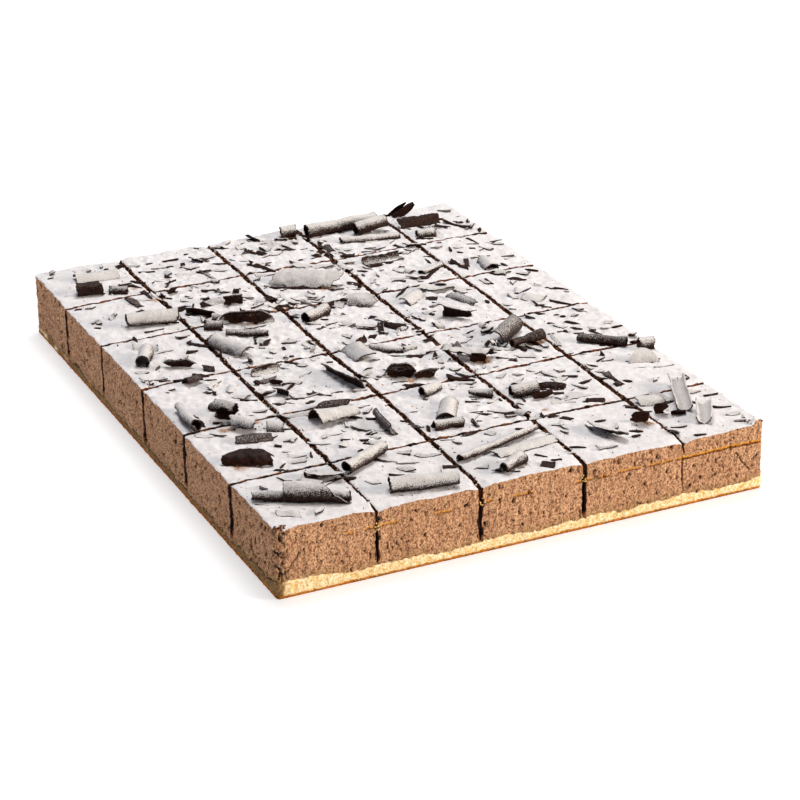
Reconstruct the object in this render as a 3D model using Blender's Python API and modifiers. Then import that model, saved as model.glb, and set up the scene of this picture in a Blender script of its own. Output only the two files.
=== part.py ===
"""Black forest sheet cake: an uncut sponge base, thirty mousse portions and chocolate curls.

Metres, +Z up. The origin is the centre of the underside. The cake's short side runs
along X (five columns of portions) and its long side along Y (six rows).
Lengths in the tables are millimetres, angles are degrees.
"""

import math
import random

import bmesh
import bpy
from mathutils import Euler, Vector

MM = 0.001

# Driving dimensions of the cake
CAKE_HEIGHT = 38.0
COLUMN_WIDTHS = (54.7, 58.1, 59.4, 57.5, 50.3)
ROW_DEPTHS = (60.2, 65.6, 65.5, 69.2, 63.1, 61.4)
CAKE_WIDTH = sum(COLUMN_WIDTHS)
CAKE_DEPTH = sum(ROW_DEPTHS)

# Sponge base, thicker towards the front left corner
SPONGE_HEIGHT = 6.2
SPONGE_WAVE = 0.45
SPONGE_CORNER_RISE = 2.8
SPONGE_CORNER_REACH = 42.0

# Knife cuts through the mousse and the rounded lips beside them
COLUMN_CUT = 1.5
ROW_CUT = 1.1
CUT_WANDER = 0.5
LIP_WIDTH = 1.3
LIP_DROP = 0.9
RIM_WIDTH = 3.2
RIM_DROP = 0.35
RIM_CORNER_DROP = 1.9
TOP_WAVE = 0.35
RIM_WAVE = 0.3

# Chocolate
SHEET_THICKNESS = 0.9
SHEET_SEGMENT = 34.0
SPIRAL_CLEARANCE = 0.65
GAP = 0.4
SINK = 0.6

# Small chips fused to each portion
CHIPS_PER_PORTION = 3
CHIP_LENGTH = (5.0, 10.0)
CHIP_WIDTH = (2.4, 4.6)
CHIP_THICKNESS = 1.0
CHIP_SPACING = 9.0
CHIP_MARGIN = 6.5
SEED = 30

# Curls that lie across cuts or stand as large pieces of their own.
# x, y: middle of the axis. turn: where the middle of the sheet is, 0 on top of the
# axis, 90 behind it, 180 under it. slant: extra length of the far end at the sheet's
# first edge. leaf: how much the sheet narrows towards its ends. crest: the same, but
# only the first edge comes down.
CURLS = (
    dict(name="curl_corner_wrap", x=-112.0, y=-168.6, yaw=-28, length=25,
         radius=5.3, sweep=215, turn=-18, slant=15),
    dict(name="curl_corner_tube", x=-115.2, y=-167.6, yaw=-27, length=50,
         radius=2.4, end_radius=3.0, sweep=320),
    dict(name="curl_front_slanted_tube", x=-69.0, y=-142.0, yaw=29, length=32,
         radius=3.9, sweep=430, turn=60),
    dict(name="curl_front_tube", x=-54.0, y=-181.0, yaw=-18, length=36,
         radius=3.5, end_radius=2.9, sweep=330),
    dict(name="curl_long_roll", x=1.5, y=-155.6, yaw=17, length=56,
         radius=2.3, end_radius=1.8, sweep=300, turn=20),
    dict(name="curl_long_slab", x=12.6, y=-160.8, yaw=6.5, length=38,
         radius=13, sweep=34, turn=-12, slant=-4),
    dict(name="curl_half_shell", x=56.5, y=-168.5, yaw=-69, length=27,
         radius=3.9, sweep=150, turn=12, leaf=0.5),
    dict(name="curl_right_tube", x=116.3, y=-144.5, yaw=-113, length=36,
         radius=3.6, sweep=340, turn=-20),
    dict(name="curl_right_trough", x=115.8, y=-170.0, yaw=-120, length=22,
         radius=4.3, sweep=200, turn=180),
    dict(name="curl_dark_roll", x=115.5, y=-59.8, yaw=-39, length=29,
         radius=2.3, end_radius=2.9, sweep=310),
    dict(name="curl_raised_trough", x=71.5, y=-26.5, yaw=36, length=25,
         radius=4.4, sweep=190, turn=-30, pitch=5),
    dict(name="curl_dark_cone", x=77.0, y=-41.5, yaw=9, length=22,
         radius=1.5, end_radius=2.9, sweep=300, turn=40),
    dict(name="curl_crumpled", x=40.2, y=-46.8, yaw=-34, length=23,
         radius=6.2, sweep=120, turn=60, leaf=0.25),
    dict(name="curl_open_cone", x=57.0, y=10.5, yaw=-34, length=19,
         radius=5.4, end_radius=1.6, sweep=210, turn=-30),
    dict(name="curl_dark_tongue", x=-8.5, y=-56.5, yaw=-27, length=15,
         radius=6.0, sweep=125, turn=72, crest=0.75),
    dict(name="curl_dark_stick", x=-44.5, y=-41.0, yaw=-92, length=38,
         radius=4.0, end_radius=7.5, sweep=95, turn=-80),
    dict(name="curl_curled_stick", x=-40.3, y=-105.7, yaw=-94, length=25,
         radius=3.0, sweep=200, turn=-120),
    dict(name="curl_arched_sheet", x=-63.5, y=-86.0, yaw=8, length=20,
         radius=11.5, end_radius=6.0, sweep=112, turn=-4),
    dict(name="curl_dark_shell", x=-55.0, y=55.6, yaw=-22, length=33,
         radius=4.0, sweep=135, turn=78, crest=0.6),
    dict(name="curl_wide_tube", x=-102.0, y=84.3, yaw=-9, length=31,
         radius=3.8, end_radius=4.2, sweep=340),
    dict(name="curl_left_wrap", x=-120.5, y=144.5, yaw=-12, length=15,
         radius=4.3, sweep=290, turn=-15, slant=5),
    dict(name="curl_broad_roll", x=-75.6, y=26.5, yaw=-68, length=29,
         radius=5.2, sweep=165, turn=-14, leaf=0.35),
    dict(name="curl_edge_scroll", x=-132.6, y=-52.0, yaw=-91, length=29,
         radius=1.5, end_radius=2.7, sweep=330),
    dict(name="curl_dark_slab", x=-119.2, y=-108.1, yaw=-27, length=28,
         radius=14, sweep=46, turn=-33, leaf=0.3),
    dict(name="curl_cluster_scroll", x=-113.6, y=-58.2, yaw=-52, length=14,
         radius=4.4, sweep=330, turn=40),
    dict(name="curl_cluster_tube", x=-109.6, y=-74.8, yaw=-54, length=16,
         radius=3.7, sweep=300, turn=-20, slant=5),
    dict(name="curl_ragged_sheet", x=6.5, y=106.5, yaw=-37, length=41,
         radius=12, sweep=72, turn=-44, leaf=0.15),
    dict(name="curl_back_tube", x=57.3, y=175.2, yaw=2, length=49, radius=4.6, sweep=430, turn=60),
    dict(name="curl_back_overlap", x=72.4, y=163.6, yaw=2, length=21,
         radius=4.2, sweep=330, turn=-10, slant=4, pitch=8),
)

# Smaller curls and flakes, each fused to the portion it lies on.
FUSED_CURLS = (
    dict(name="back_short", x=23.2, y=180.0, yaw=-7, length=11, radius=4.2, sweep=300),
    dict(name="back_thin", x=66.5, y=151.0, yaw=-17, length=36, radius=2.3, sweep=280),
    dict(name="back_tongue", x=102.5, y=178.0, yaw=34, length=20,
         radius=4.6, sweep=110, turn=100, pitch=13, leaf=0.4),
    dict(name="back_slab", x=105.6, y=164.6, yaw=9, length=27, radius=9, sweep=60, turn=40),
    dict(name="back_roll", x=101.0, y=142.0, yaw=-10, length=12, radius=2.4, sweep=260),
    dict(name="trough_ragged", x=58.5, y=111.5, yaw=0, length=27, radius=5.0, sweep=180, turn=150),
    dict(name="oval", x=21.0, y=60.5, yaw=-32, length=19, radius=9, sweep=80, turn=-45, leaf=0.8),
    dict(name="thin_roll", x=78.0, y=86.5, yaw=25, length=20, radius=2.1, sweep=270),
    dict(name="lens", x=-113.5, y=11.5, yaw=-27, length=18, radius=7, sweep=75, turn=60, leaf=0.85),
    dict(name="short_tube", x=-125.0, y=34.0, yaw=-118, length=19, radius=3.1, sweep=300),
    dict(name="cluster_slab", x=-109.0, y=-87.6, yaw=-14, length=21,
         radius=10, sweep=42, turn=-20, leaf=0.3),
    dict(name="cluster_flake", x=-94.2, y=-82.6, yaw=-33, length=10, radius=3.4, sweep=190),
    dict(name="lying_tube", x=-11.5, y=-121.5, yaw=-6, length=17, radius=2.9, sweep=290),
    dict(name="broad_tube", x=-3.1, y=-103.0, yaw=58, length=22, radius=4.7, sweep=170),
    dict(name="second_tongue", x=4.4, y=-61.0, yaw=-25, length=10,
         radius=4.6, sweep=115, turn=72, crest=0.75),
    dict(name="edge_stub", x=134.5, y=-76.5, yaw=-11, length=9.5, radius=3.3, sweep=290),
    dict(name="triangle", x=125.6, y=-86.5, yaw=-17, length=16, radius=9, sweep=62, turn=-36, leaf=0.5),
    dict(name="crumpled_flake", x=99.4, y=-139.9, yaw=-10, length=15,
         radius=10, sweep=60, turn=-15, leaf=0.3),
    dict(name="half_sunk", x=-108.0, y=167.5, yaw=-5, length=27, radius=4.6, sweep=150, turn=-10),
    dict(name="dark_bit", x=80.4, y=-168.8, yaw=-10, length=9, radius=6.0, sweep=95, turn=60, leaf=0.4),
    dict(name="dark_bits", x=98.3, y=-168.4, yaw=-15, length=13,
         radius=5.0, sweep=100, turn=60, leaf=0.4),
    dict(name="folded_flake", x=-95.6, y=-152.5, yaw=-40, length=14,
         radius=13, sweep=55, turn=-5, leaf=0.15),
    dict(name="left_tube", x=-103.8, y=138.9, yaw=-25, length=12, radius=2.7, sweep=300),
    dict(name="pile_tube", x=-73.4, y=60.4, yaw=-27, length=12, radius=2.5, sweep=300),
    dict(name="slat", x=-102.4, y=119.5, yaw=-83, length=18, radius=8, sweep=38, turn=10),
    dict(name="front_cone", x=-4.5, y=-182.0, yaw=30, length=17,
         radius=2.6, end_radius=3.8, sweep=320, slant=3),
    dict(name="low_tube", x=-59.5, y=43.0, yaw=-30, length=25, radius=2.0, sweep=300, turn=30),
    dict(name="brown_leaf", x=-56.3, y=-67.6, yaw=-1, length=22,
         radius=6, sweep=62, turn=-45, leaf=0.7),
    dict(name="dusted_tube", x=43.8, y=-101.9, yaw=-8, length=16, radius=3.2, sweep=300),
    dict(name="dusted_cone", x=21.6, y=-94.0, yaw=-32, length=14,
         radius=1.0, end_radius=3.5, sweep=300),
    dict(name="dark_strip", x=62.0, y=-97.6, yaw=-26, length=18,
         radius=5, sweep=60, turn=-50, leaf=0.7),
    dict(name="small_tongue", x=50.1, y=-119.6, yaw=-4, length=13,
         radius=4, sweep=95, turn=70, leaf=0.6),
    dict(name="crumpled_half", x=39.6, y=-54.2, yaw=-27, length=10,
         radius=4.2, sweep=110, turn=65, leaf=0.3),
    dict(name="slanted_roll", x=1.9, y=-13.9, yaw=-43, length=22, radius=2.4, sweep=250, turn=-10),
    dict(name="wedge_flake", x=-11.5, y=-12.6, yaw=-85, length=19, radius=9, sweep=80, turn=-25),
    dict(name="folded_sheet", x=47.3, y=50.1, yaw=31, length=18, radius=6, sweep=90, turn=-20),
    dict(name="edge_sheet", x=76.6, y=34.6, yaw=-65, length=22, radius=5, sweep=70, turn=-55, leaf=0.5),
    dict(name="small_arch", x=112.3, y=78.2, yaw=87, length=15, radius=3.8, sweep=190),
    dict(name="light_flake", x=113.3, y=18.9, yaw=-47, length=14, radius=13, sweep=55, leaf=0.3),
    dict(name="tented_flake", x=-50.7, y=86.8, yaw=-19, length=12, radius=4.3, sweep=130, turn=70),
    dict(name="leaf_trough", x=-70.5, y=-15.0, yaw=5, length=18,
         radius=4.6, sweep=110, turn=120, leaf=0.6),
    dict(name="dark_triangle", x=-73.0, y=-31.6, yaw=-27, length=8,
         radius=3, sweep=100, turn=60, leaf=0.8),
    dict(name="dark_loop", x=-111.8, y=-7.0, yaw=10, length=10, radius=3.4, sweep=200, turn=20),
    dict(name="square_chip", x=-96.9, y=6.6, yaw=-42, length=6, radius=5, sweep=50, turn=-20),
    dict(name="light_tube", x=-14.2, y=48.8, yaw=25, length=19, radius=2.9, sweep=300),
    dict(name="pile_sheet", x=-74.8, y=82.0, yaw=-47, length=20, radius=4, sweep=90, turn=60),
    dict(name="thin_stick", x=-125.6, y=-55.0, yaw=-88, length=17, radius=5, sweep=24, turn=-20),
    dict(name="dark_arch", x=-3.6, y=-82.6, yaw=-34, length=15, radius=4.2, sweep=150, turn=70),
    dict(name="dark_rectangle", x=59.5, y=47.0, yaw=-27, length=8, radius=6, sweep=32, turn=-30),
    dict(name="dark_leaf", x=20.6, y=15.2, yaw=-63, length=10, radius=4, sweep=60, turn=-50, leaf=0.6),
    dict(name="rim_chip", x=14.0, y=-186.2, yaw=-40, length=8, radius=7, sweep=40, turn=-10),
    dict(name="rim_triangle", x=-11.3, y=-185.5, yaw=-10, length=9,
         radius=4, sweep=70, turn=50, leaf=0.7),
)


def clear_scene():
    for obj in list(bpy.data.objects):
        bpy.data.objects.remove(obj, do_unlink=True)


def new_collection(name):
    collection = bpy.data.collections.new(name)
    bpy.context.scene.collection.children.link(collection)
    return collection


def plain_material(name, colour, roughness):
    material = bpy.data.materials.new(name)
    material.use_nodes = True
    shader = material.node_tree.nodes["Principled BSDF"]
    shader.inputs["Base Color"].default_value = (*colour, 1.0)
    shader.inputs["Roughness"].default_value = roughness
    shader.inputs["Metallic"].default_value = 0.0
    return material


def cut_lines(sizes):
    """Nominal places of the edges and cuts along one side, centred on zero."""
    lines = [-sum(sizes) / 2]
    for size in sizes:
        lines.append(lines[-1] + size)
    return lines


COLUMN_LINES = cut_lines(COLUMN_WIDTHS)
ROW_LINES = cut_lines(ROW_DEPTHS)


def wander(line, along):
    """Sideways drift of a hand-made cut."""
    return CUT_WANDER * math.sin(along / 31.0 + line * 1.7)


def stations(lines, index, cut, along):
    """Seven places across one portion: its two sides, the lips inside them and three between."""
    last = len(lines) - 2
    low_rim = index == 0
    high_rim = index == last
    low = lines[index] + (0.0 if low_rim else cut / 2 + wander(lines[index], along))
    high = lines[index + 1] + (0.0 if high_rim else wander(lines[index + 1], along) - cut / 2)
    low_lip = low + (RIM_WIDTH if low_rim else LIP_WIDTH)
    high_lip = high - (RIM_WIDTH if high_rim else LIP_WIDTH)
    inner = [low + (high - low) * share for share in (0.25, 0.5, 0.75)]
    return [low, low_lip, *inner, high_lip, high]


def surface_height(x, y):
    """Height of the cake's gently uneven top."""
    wave = math.sin(x / 23.0 + 0.6) * math.cos(y / 29.0) + 0.5 * math.sin((x + y) / 17.0)
    return CAKE_HEIGHT + TOP_WAVE * wave


def boundary_height(x, y):
    """Height of the line between sponge and mousse along the outer faces."""
    to_corner = math.hypot(x + CAKE_WIDTH / 2, y + CAKE_DEPTH / 2)
    rise = SPONGE_CORNER_RISE * math.exp(-(to_corner / SPONGE_CORNER_REACH) ** 2)
    wave = math.sin((x - y) / 8.5) + 0.6 * math.sin((x - y) / 4.1 + 1.0)
    return SPONGE_HEIGHT + rise + SPONGE_WAVE * wave


def grid_block(columns, rows, place_low, place_high):
    """A closed block from a grid: returns its bmesh and its lower and upper corners by cell."""
    bm = bmesh.new()
    bmesh.ops.create_grid(bm, x_segments=columns - 1, y_segments=rows - 1, size=0.5)

    def cell(vert):
        return round((vert.co.x + 0.5) * (columns - 1)), round((vert.co.y + 0.5) * (rows - 1))

    low = {cell(vert): vert for vert in bm.verts}
    raised = bmesh.ops.extrude_face_region(bm, geom=bm.faces[:])
    high = {cell(item): item for item in raised["geom"] if isinstance(item, bmesh.types.BMVert)}
    for key, vert in low.items():
        vert.co = Vector(place_low(*key)) * MM
    for key, vert in high.items():
        vert.co = Vector(place_high(*key)) * MM
    bmesh.ops.recalc_face_normals(bm, faces=bm.faces[:])
    return bm, low, high


def merge_flat_middle(bm, corners, columns, rows, rims):
    """Split the rim's cells along one diagonal and merge the flat cells inside into one face."""
    middle = []
    for i in range(columns - 1):
        for j in range(rows - 1):
            quad = [corners[i, j], corners[i + 1, j], corners[i + 1, j + 1], corners[i, j + 1]]
            face = next(f for f in quad[0].link_faces if all(vert in f.verts for vert in quad))
            sides = (i == 0, i == columns - 2, j == 0, j == rows - 2)
            if any(side and rim for side, rim in zip(sides, rims)):
                bmesh.utils.face_split(face, quad[0], quad[2])
            else:
                middle.append(face)
    bmesh.ops.dissolve_faces(bm, faces=middle, use_verts=False)


def finish_mesh(bm, name, material, collection):
    mesh = bpy.data.meshes.new(name)
    bm.to_mesh(mesh)
    bm.free()
    mesh.materials.append(material)
    obj = bpy.data.objects.new(name, mesh)
    collection.objects.link(obj)
    return obj


def make_sponge(material, collection):
    """The uncut sheet of sponge, its rim rising and falling where the mousse meets it."""
    columns = 7 * len(COLUMN_WIDTHS)
    rows = 7 * len(ROW_DEPTHS)

    def place(i, j):
        near_x = COLUMN_LINES[0] if i < columns / 2 else COLUMN_LINES[-1]
        near_y = ROW_LINES[0] if j // 7 == 0 else ROW_LINES[-1]
        x = stations(COLUMN_LINES, i // 7, COLUMN_CUT, near_y)[i % 7]
        y = stations(ROW_LINES, j // 7, ROW_CUT, near_x)[j % 7]
        return x, y

    def top(i, j):
        x, y = place(i, j)
        rim = i in (0, columns - 1) or j in (0, rows - 1)
        return x, y, boundary_height(x, y) if rim else SPONGE_HEIGHT

    bm, low, high = grid_block(columns, rows, lambda i, j: (*place(i, j), 0.0), top)
    merge_flat_middle(bm, high, columns, rows, (True, True, True, True))
    bottom = [face for face in bm.faces if all(vert.co.z == 0.0 for vert in face.verts)]
    bmesh.ops.dissolve_faces(bm, faces=bottom, use_verts=False)
    return finish_mesh(bm, "sponge_base", material, collection)


def make_portion(column, row, material, collection):
    """One mousse portion, cut down to the sponge, with rounded lips along its cuts."""
    last_column = len(COLUMN_WIDTHS) - 1
    last_row = len(ROW_DEPTHS) - 1
    rims = (column == 0, column == last_column, row == 0, row == last_row)

    def place(i, j):
        near_x = COLUMN_LINES[0] if column <= 2 else COLUMN_LINES[-1]
        near_y = ROW_LINES[0] if row <= 2 else ROW_LINES[-1]
        x = stations(COLUMN_LINES, column, COLUMN_CUT, near_y)[i]
        y = stations(ROW_LINES, row, ROW_CUT, near_x)[j]
        return x, y

    def on_rim(i, j):
        sides = (i == 0, i == 6, j == 0, j == 6)
        return any(side and rim for side, rim in zip(sides, rims))

    def bottom(i, j):
        x, y = place(i, j)
        base = boundary_height(x, y) if on_rim(i, j) else SPONGE_HEIGHT
        return x, y, base + GAP

    def top(i, j):
        x, y = place(i, j)
        at_side = i in (0, 6)
        at_end = j in (0, 6)
        drop = 0.0
        if at_side or at_end:
            drop = LIP_DROP
        if on_rim(i, j):
            drop = RIM_DROP + RIM_WAVE * math.sin((x + 2 * y) / 5.0)
        if at_side and at_end:
            drop = RIM_CORNER_DROP
        if at_side and at_end and all(rims[k] for k in (0 if i == 0 else 1, 2 if j == 0 else 3)):
            drop = LIP_DROP
        return x, y, surface_height(x, y) - drop

    bm, low, high = grid_block(7, 7, bottom, top)
    merge_flat_middle(bm, low, 7, 7, rims)
    return finish_mesh(bm, f"mousse_r{row + 1}_c{column + 1}", material, collection)


def sheet_point(u, v, length, radius, end_radius, sweep, turn, slant, leaf, crest):
    """A point of a curl's middle surface: u runs along the axis, v round it."""
    narrow = 1.0 - (leaf + crest) * (2 * u - 1) ** 2
    share = 0.5 - (1.0 - v) * narrow if crest else (v - 0.5) * narrow
    angle = math.radians(turn + sweep * share)
    r = radius + (end_radius - radius) * u
    if sweep > 350:
        r -= (SHEET_THICKNESS + SPIRAL_CLEARANCE) * v * sweep / 360
    x = (u - 0.5) * length + slant * u * (0.5 - v)
    return Vector((x, r * math.sin(angle), r * math.cos(angle)))


def make_curl(name, x, y, yaw, length, radius, collection, material, end_radius=None,
              sweep=320, turn=0, pitch=0, slant=0, leaf=0, crest=0, fused=False):
    """A shaved sheet of chocolate rolled about its axis and laid on the cake."""
    around = max(3, round(sweep / SHEET_SEGMENT))
    along = (4 if length > 13 else 2) if leaf or crest else 1
    shape = (length, radius, end_radius or radius, sweep, turn, slant, leaf, crest)
    bm = bmesh.new()
    bmesh.ops.create_grid(bm, x_segments=along, y_segments=around, size=0.5)
    for vert in bm.verts:
        vert.co = sheet_point(vert.co.x + 0.5, vert.co.y + 0.5, *shape)
    turned = Euler((0, -math.radians(pitch), math.radians(yaw))).to_matrix()
    clearances = []
    for vert in bm.verts:
        point = turned @ vert.co
        clearances.append(point.z - surface_height(point.x + x, point.y + y))
    rest = SHEET_THICKNESS / 2 + (-SINK if fused else GAP) - min(clearances)
    bmesh.ops.scale(bm, vec=(MM, MM, MM), verts=bm.verts[:])
    obj = finish_mesh(bm, name, material, collection)
    obj.location = Vector((x, y, rest)) * MM
    obj.rotation_euler = (0, -math.radians(pitch), math.radians(yaw))
    solid = obj.modifiers.new("thickness", "SOLIDIFY")
    solid.thickness = SHEET_THICKNESS * MM
    solid.offset = 0.0
    solid.use_even_offset = True
    return obj


def near_a_curl(x, y, spacing):
    """Whether a place lies under or beside one of the curls."""
    for curl in CURLS + FUSED_CURLS:
        yaw = math.radians(curl["yaw"])
        dx = x - curl["x"]
        dy = y - curl["y"]
        along = dx * math.cos(yaw) + dy * math.sin(yaw)
        across = dy * math.cos(yaw) - dx * math.sin(yaw)
        reach = curl["length"] / 2 + abs(curl.get("slant", 0)) / 2
        if abs(along) < reach + spacing and abs(across) < curl["radius"] + spacing:
            return True
    return False


def scatter_chips(column, row, rng, material, collection):
    """Small flat chips at free places of one portion, partly sunk into its top."""
    placed = []
    for _ in range(200):
        if len(placed) == CHIPS_PER_PORTION:
            break
        x = rng.uniform(COLUMN_LINES[column] + CHIP_MARGIN, COLUMN_LINES[column + 1] - CHIP_MARGIN)
        y = rng.uniform(ROW_LINES[row] + CHIP_MARGIN, ROW_LINES[row + 1] - CHIP_MARGIN)
        if near_a_curl(x, y, 5.5):
            continue
        if any(math.hypot(x - a, y - b) < CHIP_SPACING for a, b in placed):
            continue
        placed.append((x, y))
        bm = bmesh.new()
        bmesh.ops.create_cube(bm, size=1.0)
        size = (rng.uniform(*CHIP_LENGTH), rng.uniform(*CHIP_WIDTH), CHIP_THICKNESS)
        bmesh.ops.scale(bm, vec=Vector(size) * MM, verts=bm.verts[:])
        chip = finish_mesh(bm, "chip", material, collection)
        chip.location = Vector((x, y, surface_height(x, y) + 0.15)) * MM
        tilt = math.radians(rng.uniform(6, 16))
        chip.rotation_euler = (tilt * rng.choice((-1, 1)), tilt * 0.5, rng.uniform(0, math.pi))


def fuse(portion, toppings):
    """One Boolean union of a portion with all the pieces in a collection, applied."""
    union = portion.modifiers.new("toppings", "BOOLEAN")
    union.operation = "UNION"
    union.solver = "EXACT"
    union.operand_type = "COLLECTION"
    union.collection = toppings
    depsgraph = bpy.context.evaluated_depsgraph_get()
    joined = bpy.data.meshes.new_from_object(portion.evaluated_get(depsgraph))
    portion.modifiers.clear()
    portion.data = joined
    for obj in list(toppings.objects):
        bpy.data.objects.remove(obj, do_unlink=True)


def portion_of(x, y):
    """The column and row of the portion under a place."""
    column = max(k for k in range(len(COLUMN_WIDTHS)) if COLUMN_LINES[k] <= x)
    row = max(k for k in range(len(ROW_DEPTHS)) if ROW_LINES[k] <= y)
    return column, row


def main():
    clear_scene()
    cake = new_collection("black_forest_sheet_cake")
    toppings = new_collection("toppings_to_fuse")
    sponge = plain_material("sponge", (0.84, 0.62, 0.30), 0.9)
    mousse = plain_material("chocolate mousse", (0.43, 0.22, 0.13), 0.85)
    chocolate = plain_material("dark chocolate", (0.055, 0.018, 0.010), 0.5)

    make_sponge(sponge, cake)
    rng = random.Random(SEED)
    for row in range(len(ROW_DEPTHS)):
        for column in range(len(COLUMN_WIDTHS)):
            portion = make_portion(column, row, mousse, cake)
            for spec in FUSED_CURLS:
                if portion_of(spec["x"], spec["y"]) == (column, row):
                    make_curl(**spec, collection=toppings, material=chocolate, fused=True)
            scatter_chips(column, row, rng, chocolate, toppings)
            fuse(portion, toppings)
    for spec in CURLS:
        make_curl(**spec, collection=cake, material=chocolate)
    bpy.data.collections.remove(toppings)


main()
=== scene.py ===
"""Looks for the black forest sheet cake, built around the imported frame.

Thirty mousse portions and the sponge take the place of their CAD solids, and so does each
chocolate curl. Lengths in the tables are millimetres, angles are degrees. The cake's short
side runs along X, its long side along Y, and the origin is the middle of the underside.
"""

import math
import random
from dataclasses import dataclass

import bmesh
import bpy
from mathutils import Euler, Matrix, Vector, noise
from mathutils.bvhtree import BVHTree


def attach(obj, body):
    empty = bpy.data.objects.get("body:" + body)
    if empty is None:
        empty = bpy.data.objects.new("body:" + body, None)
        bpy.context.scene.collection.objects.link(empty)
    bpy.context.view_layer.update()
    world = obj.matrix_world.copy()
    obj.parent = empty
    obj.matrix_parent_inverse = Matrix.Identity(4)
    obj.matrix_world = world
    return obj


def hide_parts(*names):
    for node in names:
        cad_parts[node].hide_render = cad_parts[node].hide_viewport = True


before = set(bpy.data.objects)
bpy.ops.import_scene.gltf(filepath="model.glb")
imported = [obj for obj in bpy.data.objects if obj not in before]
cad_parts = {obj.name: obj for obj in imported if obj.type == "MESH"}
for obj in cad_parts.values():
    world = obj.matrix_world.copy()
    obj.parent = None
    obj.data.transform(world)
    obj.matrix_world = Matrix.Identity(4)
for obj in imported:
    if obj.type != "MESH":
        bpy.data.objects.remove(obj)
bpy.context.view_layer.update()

MM = 0.001

# The cake, close to the CAD's solids
CAKE_HEIGHT = 38.0
COLUMN_WIDTHS = (54.7, 58.1, 59.4, 57.5, 50.3)
ROW_DEPTHS = (60.2, 65.6, 65.5, 69.2, 63.1, 61.4)
CAKE_WIDTH = sum(COLUMN_WIDTHS)
CAKE_DEPTH = sum(ROW_DEPTHS)
SPONGE_HEIGHT = 6.2
SPONGE_WAVE = 0.65
SPONGE_CORNER_RISE = 2.8
SPONGE_CORNER_REACH = 42.0
LEFT_DRAG = 1.2
COLUMN_CUT = 1.5
ROW_CUT = 1.1
CUT_WANDER = 0.5
LIP_DROP = 0.9
RIM_DROP = 0.35
RIM_WAVE = 0.3
RIM_CORNER_DROP = 1.4
CAKE_CORNER_DROP = 0.5
TOP_WAVE = 0.35

# Flakes buried in the sugar: height, and how many loose flakes a portion has where most are
BURIED_HEIGHT = 0.45
CROWDED_FROM = 20
# Finer shape of the mousse
LIP_RADIUS = 1.5
RIM_RADIUS = 0.7
CUT_CORNER_RADIUS = 1.2
CAKE_CORNER_RADIUS = 2.4
CORNER_DIP_REACH = 5.5
# How far from an outer line the places on that face of the cake still lie
FACE_DEPTH = 2.0
# Stands for the distance to a cut or a rim where there is none nearby
FAR = 99.0
# The right front corner is torn up to a point, the left one is crumbly and full of pits
TORN_REACH = 6.0
TORN_POINT = (134.5, -190.0)
TORN_POINT_HALF = (4.0, 3.0)
TORN_POINT_HEIGHT = 3.4
CRUMBLY_REACH = 5.0
PITTED_REACH = 7.5
LEFT_PITS_DEPTH = 3.0
LEFT_PITS_REACH = 60.0
CELL = 0.9
FRONT_CELL = 0.65
WALL_ROWS = 40
FRONT_WALL_ROWS = 52
INNER_WALL_ROWS = 10
SPONGE_ROWS = 11
SPONGE_CELL = 0.8
CUT_CLOSES_AT = (7.5, 10.5)
SEAM_HEIGHT = 28.0
# Height above the seam that the top is given, so that none shows there
TOP_SEAM = 10.0
# Stretches of the front face, from x to x, where the thin sponge layer shows
SEAM_SHOWS = ((-102.5, -97.5), (-92.0, -73.0), (-53.0, -43.5), (-30.0, -20.0), (-9.0, 2.5),
              (27.0, 36.0), (40.0, 47.0), (51.0, 66.0), (70.0, 84.0), (86.0, 139.0))
# Cracks in the front face near its corners, as pairs of (x, z)
FRONT_CRACKS = (((-134.0, 14.5), (-131.0, 18.0)), ((-131.0, 18.0), (-127.0, 23.5)),
                ((-137.8, 5.0), (-136.6, 13.0)), ((-136.6, 13.0), (-138.0, 17.0)),
                ((123.0, 24.0), (126.5, 18.5)), ((126.5, 18.5), (131.0, 13.0)),
                ((133.0, 17.5), (137.0, 21.0)))
# Width of each cut between the columns at the front, as a share of its width further back
FRONT_CUT_SHARES = (1.0, 0.25, 0.8, 0.85, 0.4, 1.0)
# The cut that closes a few millimetres below the lip at the front, and where
SHALLOW_CUT = 4
SHALLOW_CUT_CLOSES_AT = (29.5, 33.0)
# Places where the sugar lies thin, with how far they reach
THIN_SUGAR = ((-128, -118, 8), (-119, -72, 6), (-92, 142, 6), (-88, 118, 6), (-47, 62, 8),
              (-28, 72, 7), (8, 90, 6), (100, 86, 5), (112, 62, 4), (118, -56, 5), (82, -42, 5),
              (86, -166, 4), (44, -126, 4), (45, -52, 6), (-3, -58, 5), (-100, -70, 5), (24, 175, 4))

# Shaved chocolate: rolled curls as thick as SHAVING, wound as tightly as the CAD's sheets
SHEET_THICKNESS = 0.9
SPIRAL_CLEARANCE = 0.65
SHAVING = 0.7
CURL_CELL = 0.7
SMALL_CURL_CELL = 0.9
# Share of the dust left on the edges of a curl or flake: less sugar on the broken edges, and partly painted
# shade that draws them dark
RIM_DUST = 0.55
FLAKE_RIM_DUST = 0.9
RESTS_IN_SUGAR = 0.25
FUSED_SINK = 0.6
CHIP_TO_CURL = 5.5
CHIP_THICKNESS = 0.9
FLAKE_THICKNESS = 0.8
THIN_FLAKE_THICKNESS = 0.55
FLAKE_SINK = 0.3
FLAKE_LIFT = 0.2
# Dust of a bare loose flake, and below which a flake counts as bare
BARE_DUST = 0.12
BARE_BELOW = 0.25
# Shares of the loose flakes that are broken sheets, and sheets or shreds; the rest are scrolls
SHEETS = 0.45
SHEETS_AND_SHREDS = 0.75
# Sugared lumps along each cut between columns and beside each curl
LUMPS_ALONG_CUT = 90
LUMPS_BY_CURL = 4
LUMP_DUST = 1.8

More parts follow.
